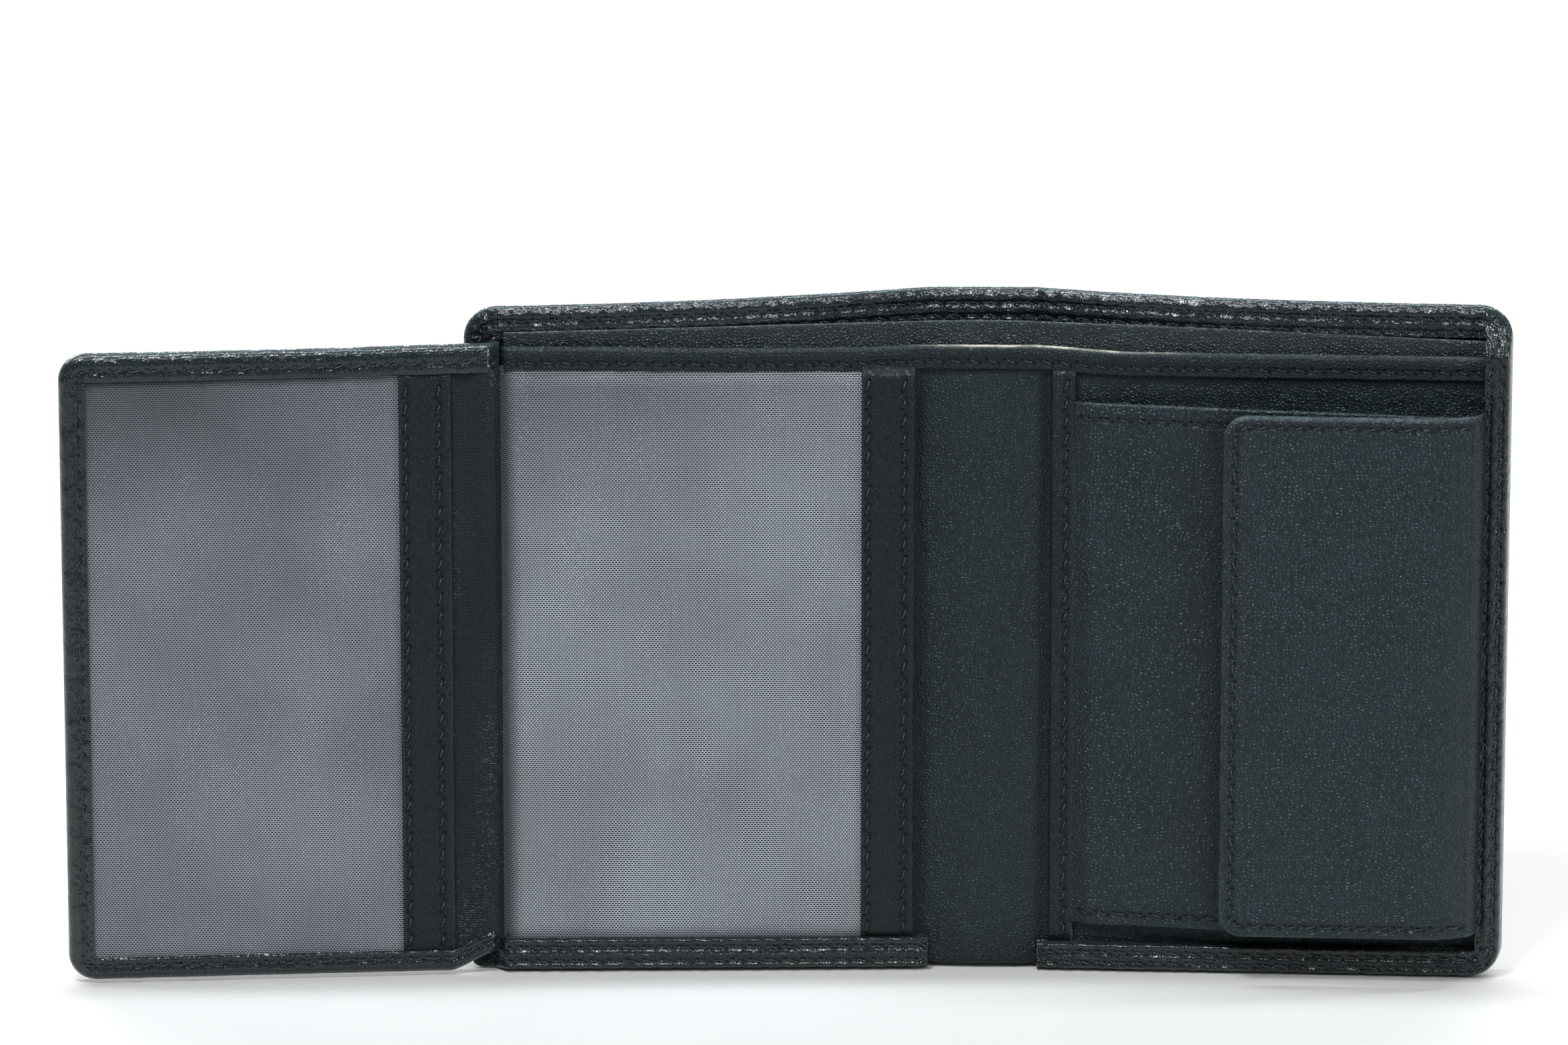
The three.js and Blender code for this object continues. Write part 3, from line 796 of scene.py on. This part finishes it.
def cover_right_front(x, z):
    """Front face of the right half: a hem at the top, bindings at the right and the bottom."""
    hem, y = top_hem(x, z)
    low = (z < RIGHT_BINDING) & (x > BINDING_END_RIGHT)
    y = np.where(low, BINDING_Y + 0.6 * wrinkles(x, z), y)
    upper = smooth((z - (NOMINAL_TOP - 9.0)) / 8.0)
    band = BINDING_Y + side_wrinkles(x, z) + upper * (hem - BINDING_Y)
    y = np.where(x > EDGE_BINDING_X, np.where(low, np.minimum(band, y), band), y)
    for z0 in (CORNER, NOMINAL_TOP - CORNER):
        held = (x > COVER_X1 - CORNER) & (np.abs(z - z0) < CORNER) & ((z - z0) * (z0 - MIDDLE) > 0)
        y = y + np.where(held, 0.5 * gathers(x, z, COVER_X1 - CORNER, z0), 0)
    return y


def cover_back(x, z):
    return cover_depth(x, z) + LEATHER + 0.06 * noise(calm(x), z, 14.0, 8)


def arc(cx, cz, r, start, end, steps=6):
    """Points round part of a circle, angles in degrees."""
    angles = np.radians(np.linspace(start, end, steps + 1))
    return [(cx + r * math.cos(a), cz + r * math.sin(a)) for a in angles]


def edge_seam(end, left, low, top, r):
    """A stitch line round three sides of a sheet: along its top from end, down its left and back."""
    return Seam((end, top), (left + r, top), *arc(left + r, top - r, r, 90, 180),
                *arc(left + r, low + r, r, 180, 270), (end, low), slant=-STITCH_SLANT)


def frame_seams_left():
    seams = []
    for inset in (2.8, 5.2):
        r = max(CORNER - inset, 0.8)
        left, top = COVER_X0 + inset, NOMINAL_TOP - inset
        seams.append(Seam((left, 12), (left, top - r), *arc(left + r, top - r, r, 180, 90), (0, top)))
    for z in (4.5, 1.9):
        seams.append(Seam((CREASE_X - 1, z), (BINDING_END_LEFT - 0.8, z)))
    return seams


def frame_seams_right():
    seams = []
    for inset, side, low in ((2.8, 2.0, 1.6), (5.2, 4.2, 3.6)):
        r = max(CORNER - side, 1.5)
        right, top = COVER_X1 - side, NOMINAL_TOP - inset
        seams.append(Seam((0, top), (right - r, top), *arc(right - r, top - r, r, 90, 0),
                          *arc(right - r, low + r, r, 0, -90), (BINDING_END_RIGHT + 0.8, low)))
    return seams


COVER_STEP = 0.8


def make_cover():
    """The cover's leather with its turned hems and bindings, in two halves that meet at x = 0."""
    rows = near_edge(lines(0, FINE, 6.5, 2.0, 116, FINE, NOMINAL_TOP), 2.2, 1.0)
    fine_rows = near_edge(lines(0, FINE, 6.5, 0.9, 118, FINE, NOMINAL_TOP), 2.2, 1.0)
    left = Sheet(
        near_edge(np.concatenate([lines(COVER_X0, FINE, COVER_X0 + 7, COVER_STEP, 0),
                                  step_at(COVER_X0 + HEM, BINDING_END_LEFT, BINDING_START)]), 1.0, 0),
        np.concatenate([rows, step_at(LEFT_BINDING, NOMINAL_TOP - HEM)]),
        cover_left_front, cover_back, rolled="lbt", rim=1.25, shape=cover_shape,
        corner={("l", "t"): CORNER, ("l", "b"): CORNER / 2}, seams=frame_seams_left(),
        puff=0.42, sewn_through=True)
    right = Sheet(
        near_edge(np.concatenate([lines(0, COVER_STEP, COVER_X1 - 7, FINE, COVER_X1),
                                  step_at(EDGE_BINDING_X, BINDING_END_RIGHT)]), 0, 2.2),
        np.concatenate([fine_rows, step_at(RIGHT_BINDING, NOMINAL_TOP - HEM)]),
        cover_right_front, cover_back, rolled="rbt", rim=1.25, shape=cover_shape,
        corner={("r", "t"): CORNER, ("r", "b"): CORNER}, seams=frame_seams_right(),
        puff=0.42, sewn_through=True)
    for sheet, name, edge, tack_x, seed, side in (
            (left, "left", "left_edge_hem", BINDING_END_LEFT - 0.9, 20, -1),
            (right, "right", "right_edge_binding", BINDING_END_RIGHT + 0.9, 40, 1)):
        nodes = ("cover_spine", "top_hem_spine", f"cover_{name}", f"top_hem_{name}", edge,
                 f"bottom_binding_{name}")
        tacks = [(tack_x, z, seed + 9 + int(z)) for z in (1.9, 4.3)]
        obj = made(sheet, f"cover_with_hems_{name}", on_cover, [OUTER, THREAD], nodes,
                   seed, sides=(-1, 1), tacks=tacks)
        bend(obj, side)


def bend(obj, side):
    """Bakes a piece's transform into its mesh. Places either side of the left spine fold (side -1) or the
    right one (side 1) are worked out but not used.
    """
    start, end = (spot(side * FOLD_X + d, 0.0, MIDDLE) for d in (-FOLD_REACH, FOLD_REACH))
    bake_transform(obj)


# ---------------------------------------------------------------- note compartment

WALL_TOP = flat_box("note_wall_left")[1][2]
WALL_BACK = flat_box("note_wall_left")[1][1]
BAND_Z = flat_box("note_band_left")[0][2]
BAND_Y = flat_box("note_band_left")[0][1]
DIVIDER_Y = flat_box("note_divider_left")[0][1]
DIVIDER_BACK = flat_box("note_divider_left")[1][1]
STRIP_X0 = flat_box("window_strip")[0][0]
POCKET_X1 = flat_box("pocket_edge_strip")[1][0]


def spine_relief(x, z):
    """The spine's leather swells between its two creases, which wander a little."""
    x = calm(x)
    edge = 11.4 + 0.35 * noise(z, 0 * z, 16.0, 31)
    swell = 0.95 * np.cos(np.clip(np.abs(x) / edge, 0, 1) * np.pi / 2)
    crease = 0.45 * bell(np.abs(x) - edge, 0.55)
    folds = 0.10 * noise(x, z * 0.18, 2.2, 32) * smooth((np.abs(x) - 6) / 5)
    held = smooth((14.0 - np.abs(x)) / 2) * smooth((BAND_Z + 1 - z) / 5)
    return (crease - swell + folds) * held + 0.06 * noise(x, z, 11.0, 33)


def wall_front(x, z):
    band = BAND_Y + 0.8 * wrinkles(x, z)
    return np.where(z > BAND_Z, band, spine_relief(x, z))


def wall_shape(x, z):
    """The note wall's top edge dips between the spine and the wallet's ends."""
    dip = -0.45 * smooth((-x - 10) / 14) * smooth((x + 84) / 40) - 1.0 * smooth((x - 8) / 20)
    return z + dip * above(z, 50)


def pale_top_and_shade(x, z, inside):
    """The note wall's pale cut edge shows along its top, from the spine to the right. Painted shade darkens
    the wall under the band and from the spine's creases outwards; the band, and the wall left of x = 18, are
    darker too.
    """
    shown = smooth((x + 16) / 14) * (1 - 0.94 * smooth((x - 16) / 26)) * (z > MIDDLE)
    pale = bell(inside, 0.17) * shown * (0.8 + 0.2 * noise(x, 0 * z, 7.0, 35))
    # Painted shade under the band's lower edge.
    shade_under_band = np.where(z < BAND_Z, bell(BAND_Z - z, 0.9), 0)
    # Painted shade in and beyond the spine's creases.
    crease = smooth((np.abs(x) - 9.2) / 2.6) * smooth((18 - x) / 3)
    # The band, and the wall left of x = 18, are darkened as well.
    groove = np.where(z < BAND_Z, 0.16 * (x < 18) + 0.6 * crease, 0.7)
    rubbed = (0.06 + 0.44 * shown) * bell(inside, 0.4)
    return pale + rubbed - np.maximum(shade_under_band, groove) * smooth(inside / 0.6)


def make_note_compartment():
    """The note wall with its band, and the divider behind it, each in two halves."""
    rows = np.concatenate([near_edge(lines(0.6, 1.4, 110, 0.6, WALL_TOP), 0.5, 1.0), step_at(BAND_Z)])
    for side, x0, x1, name in ((-1, CREASE_X, 0, "left"), (1, 0, EDGE_BINDING_X + 1.0, "right")):
        xs = lines(x0, 0.8, x1)
        seam = Seam((x0, WALL_TOP - 2.9), (x1, WALL_TOP - 2.9))
        wall = Sheet(xs, rows, wall_front, level(WALL_BACK), rolled="bt" + ("l" if side < 0 else "r"),
                     shape=wall_shape, seams=[seam], wear_and_shade_at=pale_top_and_shade)
        nodes = (f"note_wall_{name}", f"note_band_{name}", "note_wall_spine", "note_band_spine")
        obj = made(wall, f"note_wall_{name}_half", on_cover, [RAW_EDGED, THREAD], nodes,
                   60 + side)
        bend(obj, side)
        make_divider(side, x0 + (0.4 if side < 0 else 0), min(x1, EDGE_BINDING_X), name)


def make_divider(side, x0, x1, name):
    """One half of the leather between the two halves of the note compartment."""
    def shape(x, z):
        end = 120.3 - 0.6 * smooth(x / 90)
        top = end + (122.3 - end) * (1 - np.abs(x) / COVER_X1)
        return z + (top - 120) * above(z, 55)

    def front(x, z):
        leaning = 0.9 * smooth((z - 112) / 8) * (1 - np.abs(x) / COVER_X1)
        return DIVIDER_Y + 0.1 * noise(calm(x), z, 3.0, 51) + leaning

    def back(x, z):
        return front(x, z) + DIVIDER_BACK - DIVIDER_Y

    sheet = Sheet(lines(x0, 1.2, x1), near_edge(lines(1, 3.0, 110, 0.6, 120), 0.3, 0.3), front, back,
                  rolled="bt", rim=0.3, shape=shape)
    obj = made(sheet, f"note_divider_{name}_half", on_cover, [INNER],
               (f"note_divider_{name}", "note_divider_spine"))
    bend(obj, side)


# ---------------------------------------------------------------- windows


def dive(z, low, high, reach):
    """1 at the ends of a strip, where it goes under its neighbours, and 0 between."""
    return smooth((low + reach - z) / reach) + smooth((z - high + reach) / reach)


def make_net(name, node, body, place, left_low, right_high, depth, backs, seed, overall_shade):
    """A stretched net: a thin sheet that goes under the leather round it. Its last argument is painted shade
    over all of it.

    backs are its depths at the left, the right, and the top and bottom.
    """
    (x0, z0), (x1, z1) = left_low, right_high
    left_back, right_back, end_back = backs

    def front(x, z):
        y = depth + 0.16 * noise(x, z, 13.0, seed) + 0.05 * noise(x, z * 0.4, 5.0, seed + 1)
        y = y + (end_back - y) * np.clip(dive(z, z0, z1, 3.5), 0, 1)
        y = np.maximum(y, y + (left_back - y) * smooth((x0 + 3.0 - x) / 3.0))
        return np.maximum(y, y + (right_back - y) * smooth((x - x1 + 2.5) / 2.5))

    def shade(x, z, inside):
        # Painted shade along the net's left edge: deep where it dives into the crease, lighter beside a
        # binding.
        if left_back > depth + 1:
            crease = 0.9 * smooth((x0 + 4.2 - x) / 3.8)
        else:
            crease = 0.35 * smooth((x0 + 3 - x) / 3)
        # Painted shade, darker towards the top and the left.
        shadow = 0.45 * smooth((z - z1 + 34) / 34) * smooth((x1 + 12 - x) / 60)
        return np.maximum(crease, overall_shade + shadow + 0.08 * noise(x, z, 17.0, seed + 3))

    sheet = Sheet(lines(x0, 1.0, x1), lines(z0, 1.0, z1), front, lambda x, z: front(x, z) + 0.12,
                  rolled="", rim=0.05, wear_and_shade_at=shade)
    net = made(sheet, name, place, [NET], (node,))
    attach(net, body)


def make_strip(name, node, body, place, z0, z1, front, back, end_front, seams, seed, wear_and_shade_at=None):
    """A leather strip tucked under its neighbours at both ends, with stitch lines down it.

    seams are the lines' distances from its left edge.
    """
    low, high = flat_box(node)

    def front_at(x, z):
        y = front + 0.05 * noise(x, z, 4.0, seed) + 0.06 * noise(x * 0.3, z, 1.6, seed + 2)
        return y + (end_front - y) * np.clip(dive(z, z0, z1, 2.0), 0, 1)

    def back_at(x, z):
        return np.maximum(back, front_at(x, z) + 0.5)

    def pale_edges_dark_middle(x, z, inside):
        """Darkest in the middle, a little pale along the edges."""
        return 0.3 * bell(inside, 0.35) - 0.5 * smooth((inside - 0.3) / 0.8)

    seams = [Seam((low[0] + x, z1 - 2), (low[0] + x, z0 + 1)) for x in seams]
    sheet = Sheet(near_edge(lines(low[0], 0.45, high[0]), 0.6, 0.6), lines(z0, 0.65, z1), front_at,
                  back_at, rolled="lr", rim=0.7, seams=seams, puff=0.08, wear_and_shade_at=wear_and_shade_at or pale_edges_dark_middle)
    strip = made(sheet, name, place, [STRIP, THREAD], (node,), seed)
    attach(strip, body)


def make_lining(name, node, body, place, seed):
    """The woven lining behind a net, as large as its CAD node."""
    low, high = flat_box(node)
    sheet = Sheet(lines(low[0], 3.0, high[0]), lines(low[2], 3.0, high[2]),
                  lambda x, z: low[1] + 0.05 * noise(x, z, 9.0, seed), level(high[1]), rolled="", rim=0.05)
    lining = made(sheet, name, place, [WOVEN], (node,))
    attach(lining, body)


def make_window():
    """The centre panel's card window."""
    net_y = flat_box("window_net")[0][1]
    make_net("card_window_net", "window_net", "centre_panel", on_cover,
             (CREASE_X - 0.3, LEFT_BINDING - 1.0), (STRIP_X0 + 0.8, BAND_Z + 0.8), net_y + 0.2,
             (-0.55, net_y + 0.1, -0.75), 71, 0.03)
    make_lining("card_window_lining", "window_lining", "centre_panel", on_cover, 73)
    low, high = flat_box("window_strip")
    make_strip("card_window_strip", "window_strip", "centre_panel", on_cover, low[2] - 0.9, BAND_Z + 0.7,
               low[1] + 0.6, high[1] + 0.5, -0.95, (1.1, 7.7), 80)


# ---------------------------------------------------------------- leaf

leaf_low, leaf_high = flat_box("leaf_back")
edge_low, edge_high = flat_box("leaf_edge_binding")
LEAF_X0, LEAF_X1 = leaf_low[0], CREASE_X - 0.4
LEAF_Z0, LEAF_Z1 = leaf_low[2], leaf_high[2]
LEAF_FRONT = edge_low[1]
LEAF_BACK = leaf_high[1]
LEAF_BAND_X = edge_high[0]
LEAF_BAND_TOP = flat_box("leaf_top_binding")[0][2]
LEAF_BAND_BOTTOM = flat_box("leaf_bottom_binding")[1][2]
LEAF_CORNER = 5.0


def leaf_shape(x, z):
    """The lower corner by the crease slopes upwards, and the top edge rises a little towards it."""
    slope = 3.6 * smooth((x - (LEAF_X1 - 9.5)) / 9.5) ** 0.8 * np.clip((30 - z) / 30, 0, 1)
    return z + slope + 0.35 * smooth((x + 130) / 40) * above(z, 50)


def leaf_front(x, z):
    """Front face of the leaf: bands round a recess that holds the window."""
    crease = smooth((x - (LEAF_X1 - 3.2)) / 3.2)
    front = LEAF_FRONT + 2.1 * crease ** 2
    y = np.where(z > LEAF_BAND_TOP, front + wrinkles(x, z), LEAF_BACK - LEATHER)
    bottom = LEAF_BAND_BOTTOM + 1.2 * smooth((x - (LEAF_X1 - 9)) / 9)
    y = np.where(z < bottom, front + 0.7 * wrinkles(x, z), y)
    return np.where(x < LEAF_BAND_X, front + side_wrinkles(x, z), y)


def make_leaf():
    """The leaf's leather with its bindings, and what it holds."""
    seam = edge_seam(LEAF_X1 - 0.8, LEAF_X0 + 3.0, LEAF_Z0 + 2.7, LEAF_Z1 - 3.2, 1.8)
    xs = np.concatenate([lines(LEAF_X0, FINE, LEAF_X0 + 6, 0.8, LEAF_X1 - 10, FINE, LEAF_X1),
                         step_at(LEAF_BAND_X)])
    zs = np.concatenate([lines(LEAF_Z0, FINE, 7, 0.8, 112, FINE, LEAF_Z1),
                         step_at(LEAF_BAND_TOP, LEAF_BAND_BOTTOM)])
    body = Sheet(near_edge(xs, 1.4, 0.5), near_edge(zs, 1.4, 1.4), leaf_front,
                 lambda x, z: LEAF_BACK + 0.05 * noise(x, z, 12.0, 91), rim=1.2,
                 corner={("l", "t"): LEAF_CORNER, ("l", "b"): LEAF_CORNER}, shape=leaf_shape,
                 seams=[seam], sewn_through=True)
    nodes = ("leaf_back", "leaf_edge_binding", "leaf_top_binding", "leaf_bottom_binding")
    leaf = made(body, "leaf_leather", on_leaf, [OUTER, THREAD], nodes, 95, sides=(-1, 1))
    bend_leaf(leaf)
    make_leaf_window()
    make_hinge_lining()


def bend_leaf(obj):
    start, end = (spot(x, -1.0, MIDDLE, on_leaf) for x in (LEAF_BEND[1], LEAF_BEND[0]))
    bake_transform(obj)


def make_leaf_window():
    low, high = flat_box("leaf_net")
    y = low[1]
    make_net("leaf_window_net", "leaf_net", "leaf", on_leaf, (LEAF_BAND_X - 0.7, LEAF_BAND_BOTTOM - 0.7),
             (high[0] + 0.9, LEAF_BAND_TOP + 0.8), y + 0.25, (y + 0.6, y + 0.4, y + 0.6), 101, 0.3)
    make_lining("leaf_window_lining", "leaf_lining", "leaf", on_leaf, 103)
    low, high = flat_box("leaf_strip")
    make_strip("leaf_window_strip", "leaf_strip", "leaf", on_leaf, LEAF_BAND_BOTTOM - 0.6,
               LEAF_BAND_TOP + 0.6, low[1] + 0.35, high[1], LEAF_FRONT + 0.5, (1.2, 7.2), 105)


def make_hinge_lining():
    """Woven lining between the leaf's strip and the crease, in soft upright folds."""
    strip_edge = flat_box("leaf_strip")[1][0]
    x0, x1 = strip_edge - 0.8, CREASE_X - 0.1
    z0, z1 = LEAF_BAND_BOTTOM - 0.4, LEAF_BAND_TOP + 0.6

    def front(x, z):
        t = (x - x0) / (x1 - x0)
        swell = -2.0 - 0.75 * bell(t - 0.72, 0.2) + 1.6 * smooth((t - 0.86) / 0.14)
        folds = 0.18 * noise(x, z * 0.12, 1.7, 111) + 0.12 * noise(x + z * 0.35, z * 0.3, 2.4, 112)
        return swell + folds * smooth(t / 0.15) * smooth((1 - t) / 0.1)

    sheet = Sheet(lines(x0, 0.3, x1), lines(z0, 0.9, z1), front, lambda x, z: front(x, z) + 0.15,
                  rolled="", rim=0.05, shape=leaf_shape)
    obj = made(sheet, "leaf_fold_lining", on_leaf, [WOVEN], ("leaf_hinge_lining",))
    bend_leaf(obj)


# ---------------------------------------------------------------- coin pouch

pouch_low, pouch_high = flat_box("coin_pouch_front")
POUCH_Z0, POUCH_Z1 = pouch_low[2], pouch_high[2]
flap_low, flap_high = flat_box("coin_flap_outer")
FLAP_X0, FLAP_Z0, FLAP_Z1 = flap_low[0], flap_low[2], flap_high[2]
FLAP_FRONT = flap_low[1]
FLAP_BACK = flat_box("coin_flap_lining")[0][1] + 0.75
FLAP_FLAT_END = 80.0
FLAP_ROOT = FLAP_AXIS[0] - 0.4
FLAP_END = EDGE_BINDING_X + 0.35
FLAP_CORNER = 4.2


def make_pocket_strip():
    """The strip beside the pouch, with a raw edge."""
    low, high = flat_box("pocket_edge_strip")

    def cut_edge(x, z, inside):
        ragged = 0.8 + 0.2 * noise(x, z, 3.0, 121)
        return 1.6 * ragged * bell(high[0] - x, 0.3) * smooth((POUCH_Z1 - 6 - z) / 4)

    make_strip("pocket_edge_leather", "pocket_edge_strip", "coin_panel", on_cover, low[2] - 0.7,
               BAND_Z + 0.6, low[1], high[1], -0.8, (2.7,), 120, cut_edge)


def make_pouch():
    """The pouch's front and back, and its gussets."""
    front_y, back_y = pouch_low[1], pouch_high[1]

    def front(x, z):
        y = front_y + 0.08 * noise(x, z, 10.0, 131) - 0.35 * smooth((x - 24) / 25)
        return y + (back_y - 0.1 - y) * smooth((20.5 - x) / 4.0)

    def back(x, z):
        return front(x, z) + back_y - front_y

    def shaded(x, z, inside):
        """Painted shadow beside the flap's left edge, painted shade along the strip, and pale rubbed rims
        clear of the flap.
        """
        painted_shadow = smooth((x - FLAP_X0 + 4.5) / 4.0) * 0.75 + 0.5 * smooth((POCKET_X1 + 3 - x) / 3)
        return 0.6 * bell(inside, 0.4) * (x < FLAP_X0 - 1) - painted_shadow * smooth(inside / 1.5)

    seams = [Seam((17.4, z), (pouch_high[0] - 1.5, z)) for z in (POUCH_Z1 - 3.1, POUCH_Z0 + 2.2)]
    sheet = Sheet(near_edge(lines(POCKET_X1 - 1.0, FINE, 22, 0.9, pouch_high[0]), 0, 0.8),
                  near_edge(lines(POUCH_Z0, FINE, 13, 1.2, 103, FINE, POUCH_Z1), 0.8, 0.8), front, back,
                  rolled="brt", rim=0.8, seams=seams, wear_and_shade_at=shaded)
    obj = made(sheet, "coin_pouch_front_leather", on_pouch, [PANEL, THREAD],
               ("coin_pouch_front",), 135)
    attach(obj, "pouch_front")
    low, high = flat_box("coin_pouch_back")
    sheet = Sheet(lines(low[0], 2.0, high[0] + 0.8), near_edge(lines(low[2], 2.0, high[2] - 2.0), 0.5, 0.5),
                  lambda x, z: low[1] + 0.05 * noise(x, z, 7.0, 137), level(high[1]), rolled="bt", rim=0.5)
    obj = made(sheet, "coin_pouch_back_leather", on_cover, [LIT_RECESS_LEATHER], ("coin_pouch_back",))
    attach(obj, "coin_panel")
    make_gussets(low[1])


def make_gussets(back_y):
    """Folded leather that closes the pouch's top and bottom between its back and its front."""
    for node, z, way in (("coin_gusset_bottom", POUCH_Z0 + 1.6, 1),
                         ("coin_gusset_top", POUCH_Z1 - 2.6, -1)):
        x0, x1 = flat_box(node)[0][0] - 6, flat_box(node)[1][0]
        columns, rows = lines(x0, 1.2, x1), np.linspace(0, 1, 13)
        x, t = np.meshgrid(columns, rows)
        pouch = np.stack([x, np.full_like(x, pouch_high[1]), np.zeros_like(x)], -1)
        front_y = turned(pouch, POUCH_AXIS, POUCH_TURN)[..., 1] - 0.2
        y = back_y + 0.3 + (front_y - back_y - 0.3) * t
        sag = np.sin(t * np.pi) ** 1.2 * np.clip((back_y - front_y) * 0.8, 0, 4.5)
        height = z + way * (sag + 0.15 * noise(x, t * 6, 5.0, 141))
        thick = 0.5 * way
        points = np.concatenate([np.stack([x, y, h], -1).reshape(-1, 3) for h in (height, height + thick)])
        faces = closed_grid(x.shape)[:, ::way]
        piece = Piece()
        piece.add(points, faces)
        obj = piece.build(node + "_leather", on_cover, [INNER])
        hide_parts(node)
        start, end = spot(60.0, back_y + 0.2, z), spot(60.0, -4.4, z)
        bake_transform(obj)


# ---------------------------------------------------------------- coin flap

def flap_drop(x):
    """How far the flap has come back towards the panel at x."""
    t = np.clip((x - FLAP_FLAT_END) / (FLAP_ROOT - FLAP_FLAT_END), 0, 1)
    steep = np.clip((x - FLAP_ROOT) / (FLAP_END - FLAP_ROOT), 0, 1)
    return 2.3 * t * t + 5.2 * (1 - np.sqrt(1 - steep ** 1.6 * 0.98))


def make_flap():
    """The coin flap, down to where its root goes under the right-hand binding."""
    def front(x, z):
        edge = np.minimum(z - FLAP_Z0, FLAP_Z1 - z)
        crown = 0.25 * smooth(edge / 12) * smooth((x - FLAP_X0) / 12)
        return FLAP_FRONT + flap_drop(x) - crown + 0.25 + 0.07 * noise(x, z, 12.0, 151)

    def back(x, z):
        near = np.clip((x - FLAP_FLAT_END) / (FLAP_END - FLAP_FLAT_END), 0, 1)
        return front(x, z) + (FLAP_BACK - FLAP_FRONT - 0.2) * (1 - 0.45 * near)

    inset = 2.1
    seam = edge_seam(FLAP_ROOT - 0.2, FLAP_X0 + inset, FLAP_Z0 + inset, FLAP_Z1 - inset, 2.2)
    xs = np.concatenate([lines(FLAP_X0, FINE, FLAP_X0 + 5, 0.9, 82, FINE, FLAP_ROOT),
                         lines(FLAP_ROOT, 0.18, FLAP_END)])
    zs = lines(FLAP_Z0, FINE, 14, 0.9, 103, FINE, FLAP_Z1)
    sheet = Sheet(near_edge(xs, 0.9, 0), near_edge(zs, 0.9, 0.9),
                  front, back, rolled="lbt", rim=0.9, seams=[seam], sewn_through=True,
                  corner={("l", "t"): FLAP_CORNER, ("l", "b"): FLAP_CORNER})
    nodes = ("coin_flap_outer", "coin_flap_lining", "coin_flap_hinge")
    flap = made(sheet, "coin_flap_leather", on_cover, [PANEL, THREAD], nodes, 155,
                sides=(-1, 1))
    start = spot(FLAP_END, BINDING_Y - 0.3, MIDDLE)
    end = spot(FLAP_ROOT - 1.2, FLAP_FRONT + 2.4, MIDDLE)
    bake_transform(flap)


def make_snap():
    """The press snap keeps its CAD shape, in gunmetal."""
    for node in ("snap_post", "snap_stud", "snap_socket"):
        obj = frame["nodes"][node]
        obj.data.materials.clear()
        obj.data.materials.append(METAL)


# ---------------------------------------------------------------- stage


def look_from(location, target, obj):
    obj.location = location
    obj.rotation_euler = (Vector(target) - Vector(location)).to_track_quat("-Z", "Y").to_euler()


def area_light(name, location, target, size, power, colour=(1, 1, 1)):
    data = bpy.data.lights.new(name, "AREA")
    data.shape = "RECTANGLE"
    data.size, data.size_y = size
    data.energy = power
    data.color = colour
    look_from(location, target, new_object(name, data))


CAMERA_TARGET = Vector((-0.0004, 0.0, 0.0859))
CAMERA_TURN = math.radians(-1.095)
CAMERA_PITCH = math.radians(15.93)
CAMERA_DISTANCE = 1.941
CAMERA_LENS = 245.9


def make_camera():
    data = bpy.data.cameras.new("camera")
    data.sensor_width = 36.0
    data.lens = CAMERA_LENS
    data.clip_end = 20.0
    camera = new_object("camera", data)
    back = Vector((math.sin(CAMERA_TURN) * math.cos(CAMERA_PITCH),
                   -math.cos(CAMERA_TURN) * math.cos(CAMERA_PITCH), math.sin(CAMERA_PITCH)))
    look_from(CAMERA_TARGET + back * CAMERA_DISTANCE, CAMERA_TARGET, camera)
    bpy.context.scene.camera = camera


def make_stage():
    floor = bpy.data.meshes.new("floor")
    half = 3.0
    corners = [(-half, -half, 0), (half, -half, 0), (half, half, 0), (-half, half, 0)]
    floor.from_pydata(corners, [], [(0, 1, 2, 3)])
    obj = new_object("floor", floor)
    obj.location.z = -0.0002
    n = Nodes("floor_paper")
    place = n.new("ShaderNodeTexCoord").outputs["Object"]
    mottle = n.noise(place, 30.0, 2.0)
    white = n.mix(mottle, rgba(0.60, 0.60, 0.60), rgba(0.625, 0.625, 0.625))
    towards = n.split(place)[1]
    # Painted shade: the floor darkens towards the front, so that the leather reflects less light from it.
    n.shade(Base_Color=n.mix(n.ramp(towards, -0.01, -0.25), white, rgba(0.36, 0.36, 0.365)),
            Roughness=0.8, Specular_IOR_Level=0.1)
    floor.materials.append(n.material)
    world = bpy.data.worlds.new("studio")
    world.use_nodes = True
    world.node_tree.nodes["Background"].inputs[0].default_value = rgba(0.95, 0.98, 1.0)
    world.node_tree.nodes["Background"].inputs[1].default_value = 0.1
    bpy.context.scene.world = world
    bpy.context.scene.view_settings.view_transform = "Standard"
    area_light("key_light", (-0.25, -0.55, 1.0), (0, 0, 0.02), (0.3, 0.2), 7.2, (0.97, 0.99, 1.0))
    area_light("front_strip", (-0.1, -0.95, 0.92), (0, 0, 0.1), (1.2, 0.05), 6.0, (0.97, 0.99, 1.0))
    area_light("top_strip", (0.0, 0.045, 0.75), (0, 0, 0.1), (1.1, 0.04), 5.0, (0.96, 0.985, 1.0))
    area_light("right_softbox", (1.2, -0.7, 0.55), (0.05, 0, 0.06), (0.35, 0.6), 6.5, (0.95, 0.98, 1.0))
    area_light("back_light", (0.0, 1.5, 0.9), (0, 0.9, 0), (3.0, 0.6), 46)


# ---------------------------------------------------------------- the wallet

make_camera()
make_cover()
make_note_compartment()
make_window()
make_leaf()
make_pocket_strip()
make_pouch()
make_flap()
make_snap()
make_stage()
